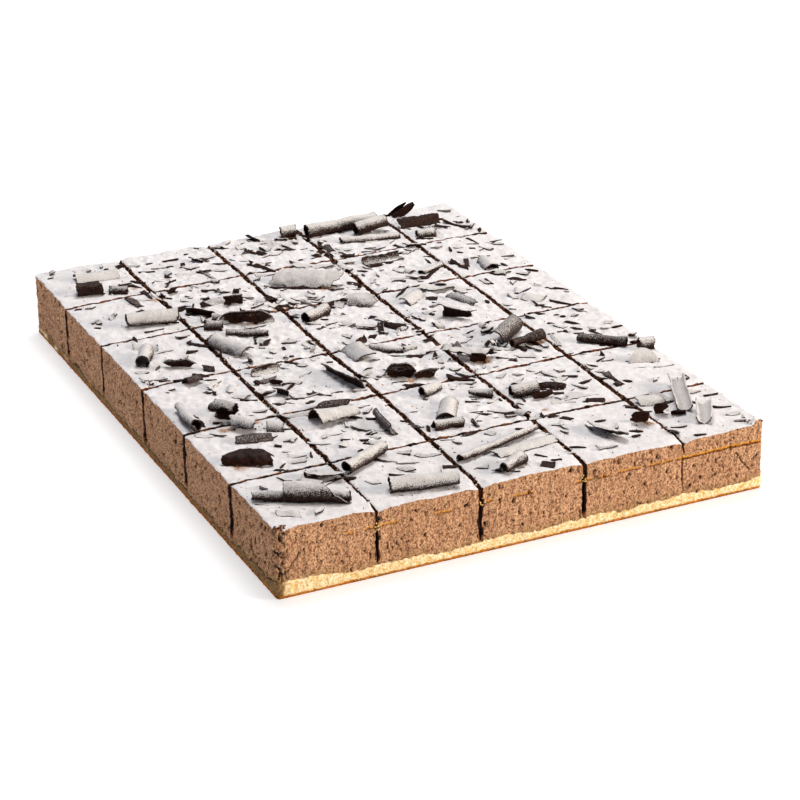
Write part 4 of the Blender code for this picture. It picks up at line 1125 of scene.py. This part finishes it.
def make_flakes():
    """All the chips, flakes and sugared lumps: the dusted ones and the bare dark ones."""
    dusted, bare = empty_with_dust(), empty_with_dust()
    rng = random.Random(FLAKE_SEED)
    add_seen_flakes(rng, dusted, bare)
    add_loose_flakes(rng, dusted, bare)
    add_lumps(rng, dusted)
    return dusted, bare


def add_crumb(bm, rng, x, y, z, size, dust=None):
    """One rough crumb, a jittered ball of twenty faces."""
    made = bmesh.ops.create_icosphere(bm, subdivisions=1, radius=size / 2)["verts"]
    for vert in made:
        if dust:
            vert[bm.verts.layers.float["dust"]] = dust
        vert.co *= rng.uniform(0.65, 1.25)
        vert.co = Vector((vert.co.x + x, vert.co.y + y, vert.co.z + z)) * MM


def anywhere_on_top(rng):
    """A place drawn at random on the cake's top, away from its rim."""
    return (rng.uniform(COLUMN_LINES[0] + CRUMB_MARGIN, COLUMN_LINES[-1] - CRUMB_MARGIN),
            rng.uniform(ROW_LINES[0] + CRUMB_MARGIN, ROW_LINES[-1] - CRUMB_MARGIN))


def make_crumbs():
    """Crumbs of mousse and cocoa beside the cuts and on the sugar, and yellow ones of sponge."""
    cocoa, sponge = bmesh.new(), bmesh.new()
    rng = random.Random(CRUMB_SEED)
    for index in range(1, LAST_COLUMN + 1):
        for _ in range(COCOA_ALONG_COLUMN_CUT):
            y = rng.uniform(ROW_LINES[0] + CRUMB_MARGIN, ROW_LINES[-1] - CRUMB_MARGIN)
            x = cut_place(index, y) + rng.gauss(0, 1.0)
            add_crumb(cocoa, rng, x, y, surface_height(x, y) - 0.5, 0.5 + 1.5 * rng.random() ** 2)
    for index in range(1, LAST_ROW + 1):
        for _ in range(COCOA_ALONG_ROW_CUT):
            x = rng.uniform(COLUMN_LINES[0] + CRUMB_MARGIN, COLUMN_LINES[-1] - CRUMB_MARGIN)
            y = ROW_LINES[index] + wander(ROW_LINES[index], x) + rng.gauss(0, 0.9)
            add_crumb(cocoa, rng, x, y, surface_height(x, y) - 0.4, rng.uniform(0.4, 1.0))
    for _ in range(COCOA_ON_TOP):
        x, y = anywhere_on_top(rng)
        add_crumb(cocoa, rng, x, y, surface_height(x, y) + 0.1, rng.uniform(0.4, 0.9))
    for _ in range(COCOA_AT_RIGHT_CORNER):
        x, y = COLUMN_LINES[-1] - rng.uniform(1.0, 9.0), ROW_LINES[0] + rng.uniform(1.0, 6.5)
        add_crumb(cocoa, rng, x, y, surface_height(x, y) + 0.5, rng.uniform(0.7, 1.8))
    for _ in range(COCOA_AT_LEFT_CORNER):
        x, y = COLUMN_LINES[0] + rng.uniform(0.8, 7.0), ROW_LINES[0] + rng.uniform(0.8, 4.5)
        add_crumb(cocoa, rng, x, y, surface_height(x, y) - 0.1, rng.uniform(0.7, 1.6))
    for index in range(1, LAST_COLUMN + 1):
        for _ in range(SPONGE_AT_SEAM):
            x = cut_place(index, ROW_LINES[0]) + rng.gauss(0, 0.8)
            y = ROW_LINES[0] + rng.uniform(0.2, 0.9)
            add_crumb(sponge, rng, x, y, SEAM_HEIGHT + rng.gauss(0, 1.2), rng.uniform(0.7, 1.5))
    for _ in range(SPONGE_ON_TOP):
        x, y = anywhere_on_top(rng)
        add_crumb(sponge, rng, x, y, surface_height(x, y) + 0.2, rng.uniform(0.5, 1.1))
    return cocoa, sponge


# Materials

def linear(code):
    """An sRGB hex colour as linear red, green, blue and alpha."""
    parts = (int(code[k:k + 2], 16) / 255 for k in (1, 3, 5))
    return (*(c / 12.92 if c <= 0.04045 else ((c + 0.055) / 1.055) ** 2.4 for c in parts), 1.0)


def add_node(tree, kind, inputs, output=0, **settings):
    """Add a node with its settings and links, and give one of its outputs."""
    made = tree.nodes.new("ShaderNode" + kind)
    for name, value in settings.items():
        setattr(made, name, value)
    for key, value in inputs.items():
        if isinstance(value, bpy.types.NodeSocket):
            tree.links.new(value, made.inputs[key])
        else:
            made.inputs[key].default_value = value
    return made.outputs[output]


def new_material(name, roughness, ior):
    """A material with its shader's constants set, and its node tree."""
    material = bpy.data.materials.new(name)
    material.use_nodes = True
    tree = material.node_tree
    shader = tree.nodes["Principled BSDF"]
    shader.inputs["Roughness"].default_value = roughness
    shader.inputs["IOR"].default_value = ior
    shader.inputs["Specular IOR Level"].default_value = 0.3
    return material, tree, shader


def per_metre(size):
    """A texture's scale from the size in millimetres of what it draws."""
    return 1.0 / (size * MM)


def torn_foam(tree, place, upright):
    """Foam torn about 1 mm across: its colour, its grain, and the share of its light parts. Its colour is
    partly painted light and shade, light on the raised tears and dark in the low ones.
    """
    torn = add_node(tree, "TexNoise", {"Vector": upright, "Scale": per_metre(0.95), "Detail": 3.0,
                                       "Roughness": 0.7, "Distortion": 0.4})
    # Partly painted light and shade: the torn foam is coloured light where its relief is raised and dark
    # where it is low
    torn_part = add_node(tree, "MapRange", {"Value": torn, "From Min": 0.38, "From Max": 0.62})
    foam = add_node(tree, "Mix", {0: torn_part, 6: linear("#76482F"), 7: linear("#E2B287")}, 2,
                    data_type="RGBA")
    # Broad patches, about 15 mm
    patch = add_node(tree, "TexNoise", {"Vector": place, "Scale": per_metre(15.0), "Detail": 2.0})
    patch_part = add_node(tree, "MapRange", {"Value": patch, "From Min": 0.35, "From Max": 0.65,
                                             "To Min": 0.0, "To Max": 0.3})
    foam = add_node(tree, "Mix", {0: patch_part, 6: foam, 7: linear("#936345")}, 2, data_type="RGBA")
    return foam, torn, torn_part


def foam_pores(tree, place, upright, torn):
    """Pores, about 0.5 mm wide, in many of the foam's cells, and the larger torn hollows, which are coloured
    near black as painted shade.
    """
    cells = add_node(tree, "TexVoronoi", {"Vector": upright, "Scale": per_metre(1.1)}, "Distance")
    where = add_node(tree, "TexNoise", {"Vector": place, "Scale": per_metre(2.2), "Detail": 1.0})
    size = add_node(tree, "MapRange", {"Value": where, "From Min": 0.37, "From Max": 0.66,
                                       "To Min": 0.0, "To Max": 0.33})
    depth = add_node(tree, "Math", {0: size, 1: cells}, operation="SUBTRACT")
    pore = add_node(tree, "MapRange", {"Value": depth, "From Min": -0.02, "From Max": 0.045})
    hollow = add_node(tree, "Attribute", {}, "Fac", attribute_name="hollow")
    hollow_edge = add_node(tree, "Math", {0: torn, 1: -1.2, 2: 0.25}, operation="MULTIPLY_ADD")
    hollow_part = add_node(tree, "Math", {0: hollow, 1: hollow_edge}, operation="ADD")
    deep = add_node(tree, "MapRange", {"Value": hollow_part, "From Min": 0.05, "From Max": 0.55})
    return add_node(tree, "Math", {0: pore, 1: deep}, operation="MAXIMUM")


def add_seam(tree, place, torn, foam):
    """The thin layer of sponge inside the mousse, golden with brown and yellow bits, and with painted shade
    turning its lower side dark brown.
    """
    seam = add_node(tree, "Attribute", {}, "Fac", attribute_name="seam")
    seam_off = add_node(tree, "Math", {0: seam}, operation="ABSOLUTE")
    seam_grain = add_node(tree, "TexNoise", {"Vector": place, "Scale": per_metre(1.8), "Detail": 3.0})
    seam_edge = add_node(tree, "Math", {0: seam_grain, 1: 1.1, 2: -0.55}, operation="MULTIPLY_ADD")
    seam_near = add_node(tree, "Math", {0: seam_off, 1: seam_edge}, operation="ADD")
    seam_in = add_node(tree, "MapRange", {"Value": seam_near, "From Min": 1.2, "From Max": 0.75})
    seam_show = add_node(tree, "Attribute", {}, "Fac", attribute_name="seam_show")
    seam_part = add_node(tree, "Math", {0: seam_in, 1: seam_show}, operation="MULTIPLY")
    # Painted shade: below its middle the seam turns dark brown, above it golden; the grain adds the bits
    seam_bits_and_shade = add_node(tree, "Math", {0: seam, 1: 0.3, 2: torn}, operation="MULTIPLY_ADD")
    seam_mix = add_node(tree, "MapRange", {"Value": seam_bits_and_shade, "From Min": 0.36, "From Max": 0.64})
    seam_colour = add_node(tree, "Mix", {0: seam_mix, 6: linear("#5A2A08"), 7: linear("#DB9430")}, 2,
                           data_type="RGBA")
    return add_node(tree, "Mix", {0: seam_part, 6: foam, 7: seam_colour}, 2, data_type="RGBA")


def add_smears_and_cut_shade(tree, torn, foam):
    """Olive smears of sponge dragged over the mousse just above the base, and painted shade on the knife's
    sides of the cuts: a warm brown at the lips, nearly black further down."""
    smear = add_node(tree, "Attribute", {}, "Fac", attribute_name="smear")
    smear_part = add_node(tree, "Math", {0: smear, 1: 0.3}, operation="MULTIPLY")
    foam = add_node(tree, "Mix", {0: smear_part, 6: foam, 7: linear("#8F7440")}, 2, data_type="RGBA")
    # Painted shade in the cuts and at their lips: warm brown, then nearly black deeper in the cut
    cut = add_node(tree, "Attribute", {}, "Fac", attribute_name="cut")
    cut_edge = add_node(tree, "Math", {0: torn, 1: 0.5, 2: -0.25}, operation="MULTIPLY_ADD")
    cut_ragged = add_node(tree, "Math", {0: cut, 1: cut_edge}, operation="ADD")
    warm = add_node(tree, "MapRange", {"Value": cut_ragged, "From Min": 0.05, "From Max": 0.4})
    foam = add_node(tree, "Mix", {0: warm, 6: foam, 7: linear("#7C4520")}, 2, data_type="RGBA")
    dark = add_node(tree, "MapRange", {"Value": cut_ragged, "From Min": 0.5, "From Max": 0.9})
    return add_node(tree, "Mix", {0: dark, 6: foam, 7: linear("#1E0D06")}, 2, data_type="RGBA")


def icing_sugar(tree, place):
    """Icing sugar where the top is open to the sky, thinner at the lips, with single specks of
    chocolate dust in it: its colour, its grain, and where it covers the mousse."""
    sugar = add_node(tree, "Attribute", {}, "Fac", attribute_name="sugar")
    grain = add_node(tree, "TexNoise", {"Vector": place, "Scale": per_metre(0.7), "Detail": 2.0})
    clump = add_node(tree, "TexNoise", {"Vector": place, "Scale": per_metre(4.0), "Detail": 3.0})
    grain_part = add_node(tree, "Math", {0: grain, 1: 0.55}, operation="MULTIPLY")
    clump_part = add_node(tree, "Math", {0: clump, 1: 0.3, 2: grain_part}, operation="MULTIPLY_ADD")
    cover = add_node(tree, "Math", {0: sugar, 1: clump_part}, operation="SUBTRACT")
    covered = add_node(tree, "MapRange", {"Value": cover, "From Min": -0.08, "From Max": 0.16})
    # The powder's tone, partly painted shade: a little greyer where its clumps lie low
    clump_tone_and_shade = add_node(tree, "MapRange", {"Value": clump, "From Min": 0.35, "From Max": 0.65})
    powder = add_node(tree, "Mix", {0: clump_tone_and_shade, 6: linear("#DAD6D6"), 7: linear("#E7E5E5")}, 2,
                      data_type="RGBA")
    dots = add_node(tree, "TexVoronoi", {"Vector": place, "Scale": per_metre(2.4)}, "Distance")
    dot_size = add_node(tree, "MapRange", {"Value": clump, "From Min": 0.5, "From Max": 0.7,
                                           "To Min": 0.0, "To Max": 0.17})
    dot_depth = add_node(tree, "Math", {0: dot_size, 1: dots}, operation="SUBTRACT")
    dot = add_node(tree, "MapRange", {"Value": dot_depth, "From Min": -0.04, "From Max": 0.04,
                                      "To Max": 0.75})
    powder = add_node(tree, "Mix", {0: dot, 6: powder, 7: linear("#6B4028")}, 2, data_type="RGBA")
    return powder, clump_part, covered


def sugared_mousse():
    """Whipped chocolate mousse cut with a knife: a dull, light brown foam full of small pores,
    dragged upright by the blade. Icing sugar lies on the top as a dull, off-white powder."""
    material, tree, shader = new_material("chocolate mousse and icing sugar", 0.85, 1.4)
    place = add_node(tree, "TexCoord", {}, "Object")
    upright = add_node(tree, "Mapping", {"Vector": place, "Scale": (1.0, 1.0, 0.75)})
    foam, torn, torn_part = torn_foam(tree, place, upright)
    pore = foam_pores(tree, place, upright, torn)
    # Painted shade: the pores and hollows are coloured near black
    foam = add_node(tree, "Mix", {0: pore, 6: foam, 7: linear("#22100A")}, 2, data_type="RGBA")
    foam = add_seam(tree, place, torn, foam)
    foam = add_smears_and_cut_shade(tree, torn, foam)
    powder, clump_part, covered = icing_sugar(tree, place)
    colour = add_node(tree, "Mix", {0: covered, 6: foam, 7: powder}, 2, data_type="RGBA")
    tree.links.new(colour, shader.inputs["Base Color"])
    # Relief: pores and torn foam on the mousse, fine grain on the sugar
    foam_height = add_node(tree, "Math", {0: pore, 1: -1.0, 2: torn_part}, operation="MULTIPLY_ADD")
    foam_bump = add_node(tree, "Math", {0: foam_height, 1: 0.35}, operation="MULTIPLY")
    sugar_bump = add_node(tree, "Math", {0: clump_part, 1: 1.5}, operation="MULTIPLY")
    height = add_node(tree, "Mix", {0: covered, 2: foam_bump, 3: sugar_bump}, 0)
    bump = add_node(tree, "Bump", {"Height": height, "Strength": 0.6, "Distance": 0.5 * MM})
    tree.links.new(bump, shader.inputs["Normal"])
    return material


def sponge_cake():
    """Baked vanilla sponge: a dull, pale yellow crumb with small holes and a browned skin below."""
    material, tree, shader = new_material("baked vanilla sponge", 0.9, 1.4)
    place = add_node(tree, "TexCoord", {}, "Object")
    crumb = add_node(tree, "TexNoise", {"Vector": place, "Scale": per_metre(1.2), "Detail": 3.0,
                                        "Distortion": 0.5})
    crumb_part = add_node(tree, "MapRange", {"Value": crumb, "From Min": 0.35, "From Max": 0.62})
    # Crumb colour, partly painted light and shade: nearly white on the raised crumb, deeper yellow on the low
    colour = add_node(tree, "Mix", {0: crumb_part, 6: linear("#E3B25E"), 7: linear("#FFEFC6")}, 2,
                      data_type="RGBA")
    holes = add_node(tree, "TexVoronoi", {"Vector": place, "Scale": per_metre(1.3)}, "Distance")
    # Painted shade: the holes are coloured darker brown
    hole = add_node(tree, "MapRange", {"Value": holes, "From Min": 0.16, "From Max": 0.02,
                                       "To Max": 0.6})
    colour = add_node(tree, "Mix", {0: hole, 6: colour, 7: linear("#B98238")}, 2, data_type="RGBA")
    # Mousse dragged over the crumb by the knife
    smear = add_node(tree, "Attribute", {}, "Fac", attribute_name="smear")
    smear_part = add_node(tree, "Math", {0: smear, 1: 0.95}, operation="MULTIPLY")
    smear_colour = add_node(tree, "Mix", {0: crumb_part, 6: linear("#5E3F24"), 7: linear("#8E6C3C")}, 2,
                            data_type="RGBA")
    colour = add_node(tree, "Mix", {0: smear_part, 6: colour, 7: smear_colour}, 2, data_type="RGBA")
    # Browned skin, about 1 mm
    parts = tree.nodes.new("ShaderNodeSeparateXYZ")
    tree.links.new(place, parts.inputs[0])
    skin_edge = add_node(tree, "Math", {0: crumb, 1: 3.6 * MM, 2: -0.2 * MM}, operation="MULTIPLY_ADD")
    skin_edge = add_node(tree, "Math", {0: smear, 1: 0.7 * MM, 2: skin_edge}, operation="MULTIPLY_ADD")
    above = add_node(tree, "Math", {0: parts.outputs["Z"], 1: skin_edge}, operation="SUBTRACT")
    skin = add_node(tree, "MapRange", {"Value": above, "From Min": 0.35 * MM, "From Max": -0.25 * MM})
    skin_colour = add_node(tree, "Mix", {0: crumb_part, 6: linear("#4A2006"), 7: linear("#CC7A1E")}, 2,
                           data_type="RGBA")
    colour = add_node(tree, "Mix", {0: skin, 6: colour, 7: skin_colour}, 2, data_type="RGBA")
    tree.links.new(colour, shader.inputs["Base Color"])
    height = add_node(tree, "Math", {0: hole, 1: -1.0, 2: crumb_part}, operation="MULTIPLY_ADD")
    bump = add_node(tree, "Bump", {"Height": height, "Strength": 0.5, "Distance": 0.4 * MM})
    tree.links.new(bump, shader.inputs["Normal"])
    return material


def dusted_chocolate():
    """Dark couverture shaved from a block: satin, nearly black brown. Icing sugar lies on the
    parts that look upwards and thins out to single specks on the steep ones."""
    material, tree, shader = new_material("dark couverture with icing sugar", 0.55, 1.4)
    shader.inputs["Specular IOR Level"].default_value = 0.18
    place = add_node(tree, "TexCoord", {}, "Object")
    normal = tree.nodes.new("ShaderNodeNewGeometry").outputs["Normal"]
    parts = tree.nodes.new("ShaderNodeSeparateXYZ")
    tree.links.new(normal, parts.inputs[0])
    # Up to 1 the dust layer is the amount of sugar, above that how far down the sides it reaches
    dust = add_node(tree, "Attribute", {}, "Fac", attribute_name="dust")
    reach = add_node(tree, "Math", {0: dust, 1: 1.0}, operation="MAXIMUM")
    reach = add_node(tree, "Math", {0: reach, 1: 0.8, 2: -0.8}, operation="MULTIPLY_ADD")
    facing = add_node(tree, "Math", {0: parts.outputs["Z"], 1: reach}, operation="ADD")
    upward = add_node(tree, "MapRange", {"Value": facing, "From Min": -0.2, "From Max": 0.95,
                                         "To Max": 1.22})
    amount = add_node(tree, "Math", {0: dust, 1: 1.0}, operation="MINIMUM")
    cover = add_node(tree, "Math", {0: upward, 1: amount}, operation="MULTIPLY")
    # Single specks of sugar, about 0.5 mm
    specks = add_node(tree, "TexNoise", {"Vector": place, "Scale": per_metre(0.45), "Detail": 1.0})
    even = add_node(tree, "MapRange", {"Value": specks, "From Min": 0.3, "From Max": 0.7,
                                       "To Min": 0.1, "To Max": 1.1})
    over = add_node(tree, "Math", {0: cover, 1: even}, operation="SUBTRACT")
    powder = add_node(tree, "MapRange", {"Value": over, "From Min": -0.2, "From Max": 0.44})
    thick = add_node(tree, "MapRange", {"Value": amount, "From Min": 0.05, "From Max": 0.5,
                                        "To Min": 0.12, "To Max": 1.0})
    dusted = add_node(tree, "Math", {0: powder, 1: thick}, operation="MULTIPLY")
    # Bare chocolate, streaked and scuffed by the blade
    streak = add_node(tree, "TexNoise", {"Vector": place, "Scale": per_metre(2.2), "Detail": 4.0,
                                         "Roughness": 0.65, "Distortion": 0.8})
    scuffed = add_node(tree, "MapRange", {"Value": streak, "From Min": 0.35, "From Max": 0.7})
    bare = add_node(tree, "Mix", {0: scuffed, 6: linear("#0A0301"), 7: linear("#3A1A0A")}, 2,
                    data_type="RGBA")
    colour = add_node(tree, "Mix", {0: dusted, 6: bare, 7: linear("#D4D0CD")}, 2, data_type="RGBA")
    tree.links.new(colour, shader.inputs["Base Color"])
    rough_part = add_node(tree, "MapRange", {"Value": dusted, "To Min": 0.5, "To Max": 0.9})
    tree.links.new(rough_part, shader.inputs["Roughness"])
    relief = add_node(tree, "Math", {0: scuffed, 1: 1.5, 2: dusted}, operation="MULTIPLY_ADD")
    bump = add_node(tree, "Bump", {"Height": relief, "Strength": 0.45, "Distance": 0.2 * MM})
    tree.links.new(bump, shader.inputs["Normal"])
    return material


def crumb_material(name, dark, light):
    """Dull loose crumb, two shades of one colour from bit to bit."""
    material, tree, shader = new_material(name, 0.9, 1.4)
    place = add_node(tree, "TexCoord", {}, "Object")
    shade = add_node(tree, "TexNoise", {"Vector": place, "Scale": per_metre(1.5)})
    colour = add_node(tree, "Mix", {0: shade, 6: linear(dark), 7: linear(light)}, 2, data_type="RGBA")
    tree.links.new(colour, shader.inputs["Base Color"])
    return material


# Building the cake

def sky_directions():
    """Directions from which sugar falls and light comes: straight down and two slanted rings."""
    directions = [Vector((0, 0, 1))]
    for lean, count in ((28, 4), (55, 4)):
        for k in range(count):
            turn = math.tau * (k + lean / 90) / count
            directions.append(Vector((math.sin(math.radians(lean)) * math.cos(turn),
                                      math.sin(math.radians(lean)) * math.sin(turn),
                                      math.cos(math.radians(lean)))))
    return directions


def make_openness(meshes):
    """A function that says how open to the sky a place among these meshes is, 0 to 1."""
    points, polygons = [], []
    for bm in meshes:
        start = len(points)
        bm.verts.index_update()
        points += [vert.co.copy() for vert in bm.verts]
        polygons += [[start + vert.index for vert in face.verts] for face in bm.faces]
    tree = BVHTree.FromPolygons(points, polygons)
    directions = sky_directions()

    def openness(point, normal):
        start = point + normal * 0.25 * MM
        clear = [tree.ray_cast(start, direction, 40 * MM)[0] is None for direction in directions]
        return 0.4 * clear[0] + 0.6 * sum(clear) / len(clear)

    return openness


def shade_dust(bm, openness):
    """Less sugar on the parts of shaved chocolate that others shelter; the bare chocolate left there also
    stands as painted shade under and inside the curls.
    """
    dusting = bm.verts.layers.float["dust"]
    bm.normal_update()
    for vert in bm.verts:
        if vert.normal.z > -0.2:
            vert[dusting] *= smooth(0.15, 0.75, openness(vert.co, vert.normal))


def join(parts):
    """Several meshes as one."""
    joined = empty_with_dust()
    for part in parts:
        mesh = bpy.data.meshes.new("part")
        part.to_mesh(mesh)
        part.free()
        joined.from_mesh(mesh)
        bpy.data.meshes.remove(mesh)
    return joined


def build_cake():
    """Every piece of the cake. The chocolate comes first, because it shades the sugar."""
    mousse, sponge, chocolate = sugared_mousse(), sponge_cake(), dusted_chocolate()
    cocoa_crumb = crumb_material("cocoa and mousse crumbs", "#3A1C10", "#8A5436")
    sponge_crumb = crumb_material("vanilla sponge crumbs", "#D9A24E", "#F7DC9B")
    curls = {spec["name"]: shave(**spec) for spec in CURLS}
    small = join([shave(**spec, cell=SMALL_CURL_CELL, sink=FUSED_SINK) for spec in SMALL_CURLS])
    dusted, bare = make_flakes()
    openness = make_openness([*curls.values(), small, dusted, bare])
    for bm in (*curls.values(), small, dusted, bare):
        shade_dust(bm, openness)
    for name, bm in curls.items():
        new_piece(name.replace("curl_", "shaved_"), bm, chocolate, (name,))
    new_piece("small_curls", small, chocolate)
    new_piece("dusted_flakes", dusted, chocolate)
    new_piece("bare_flakes", bare, chocolate)
    cocoa, yellow = make_crumbs()
    new_piece("cocoa_crumbs", cocoa, cocoa_crumb)
    new_piece("sponge_crumbs", yellow, sponge_crumb)
    for row in range(len(ROW_DEPTHS)):
        for column in range(len(COLUMN_WIDTHS)):
            name = f"r{row + 1}_c{column + 1}"
            new_piece("portion_" + name, make_portion(column, row, openness), mousse,
                      ("mousse_" + name,))
    new_piece("sponge_sheet", make_sponge(), sponge, ("sponge_base",))


# Studio

def make_floor():
    """A large, pale, plain floor."""
    material, _, shader = new_material("white studio floor", 0.9, 1.45)
    shader.inputs["Base Color"].default_value = linear("#CCCCCC")
    shader.inputs["Specular IOR Level"].default_value = 0.0
    shader.inputs["Emission Color"].default_value = linear("#FFFFFF")
    shader.inputs["Emission Strength"].default_value = 0.58
    bm = bmesh.new()
    bmesh.ops.create_grid(bm, x_segments=1, y_segments=1, size=6.0)
    bmesh.ops.translate(bm, verts=bm.verts[:], vec=(0, 0, -0.1 * MM))
    mesh = bpy.data.meshes.new("floor")
    bm.to_mesh(mesh)
    bm.free()
    mesh.materials.append(material)
    floor = bpy.data.objects.new("floor", mesh)
    bpy.context.scene.collection.objects.link(floor)


def add_softbox(name, place, size, power, colour):
    """A square area light aimed at the cake."""
    light = bpy.data.lights.new(name, "AREA")
    light.size = size
    light.energy = power
    light.color = linear(colour)[:3]
    lamp = bpy.data.objects.new(name, light)
    lamp.location = place
    lamp.rotation_euler = (Vector((0, 0, 0.03)) - Vector(place)).to_track_quat("-Z", "Y").to_euler()
    bpy.context.scene.collection.objects.link(lamp)


def light_studio():
    """A faint cool room, a warm light from the right front, and two weaker ones."""
    world = bpy.data.worlds.new("studio")
    world.use_nodes = True
    world.node_tree.nodes["Background"].inputs[0].default_value = linear("#F3F5FF")
    world.node_tree.nodes["Background"].inputs[1].default_value = 0.17
    bpy.context.scene.world = world
    add_softbox("front", (1.8, -1.45, 0.75), 0.9, 61.5, "#FFF3E6")
    add_softbox("overhead", (0.2, 0.3, 1.5), 0.7, 18.8, "#FCFAF8")
    add_softbox("left", (-1.05, 1.4, 0.5), 0.6, 5.6, "#D6DEFF")


def place_camera():
    """The photograph's viewpoint: front left, 24 degrees above the table."""
    camera = bpy.data.cameras.new("camera")
    camera.sensor_width = 36.0
    camera.lens = CAMERA_LENS
    camera.clip_start = 0.05
    camera.clip_end = 20.0
    viewer = bpy.data.objects.new("camera", camera)
    viewer.location = CAMERA_PLACE
    viewer.rotation_euler = [math.radians(turn) for turn in CAMERA_TURN]
    bpy.context.scene.collection.objects.link(viewer)
    bpy.context.scene.camera = viewer


place_camera()
light_studio()
make_floor()
build_cake()
bpy.context.scene.view_settings.view_transform = "Standard"
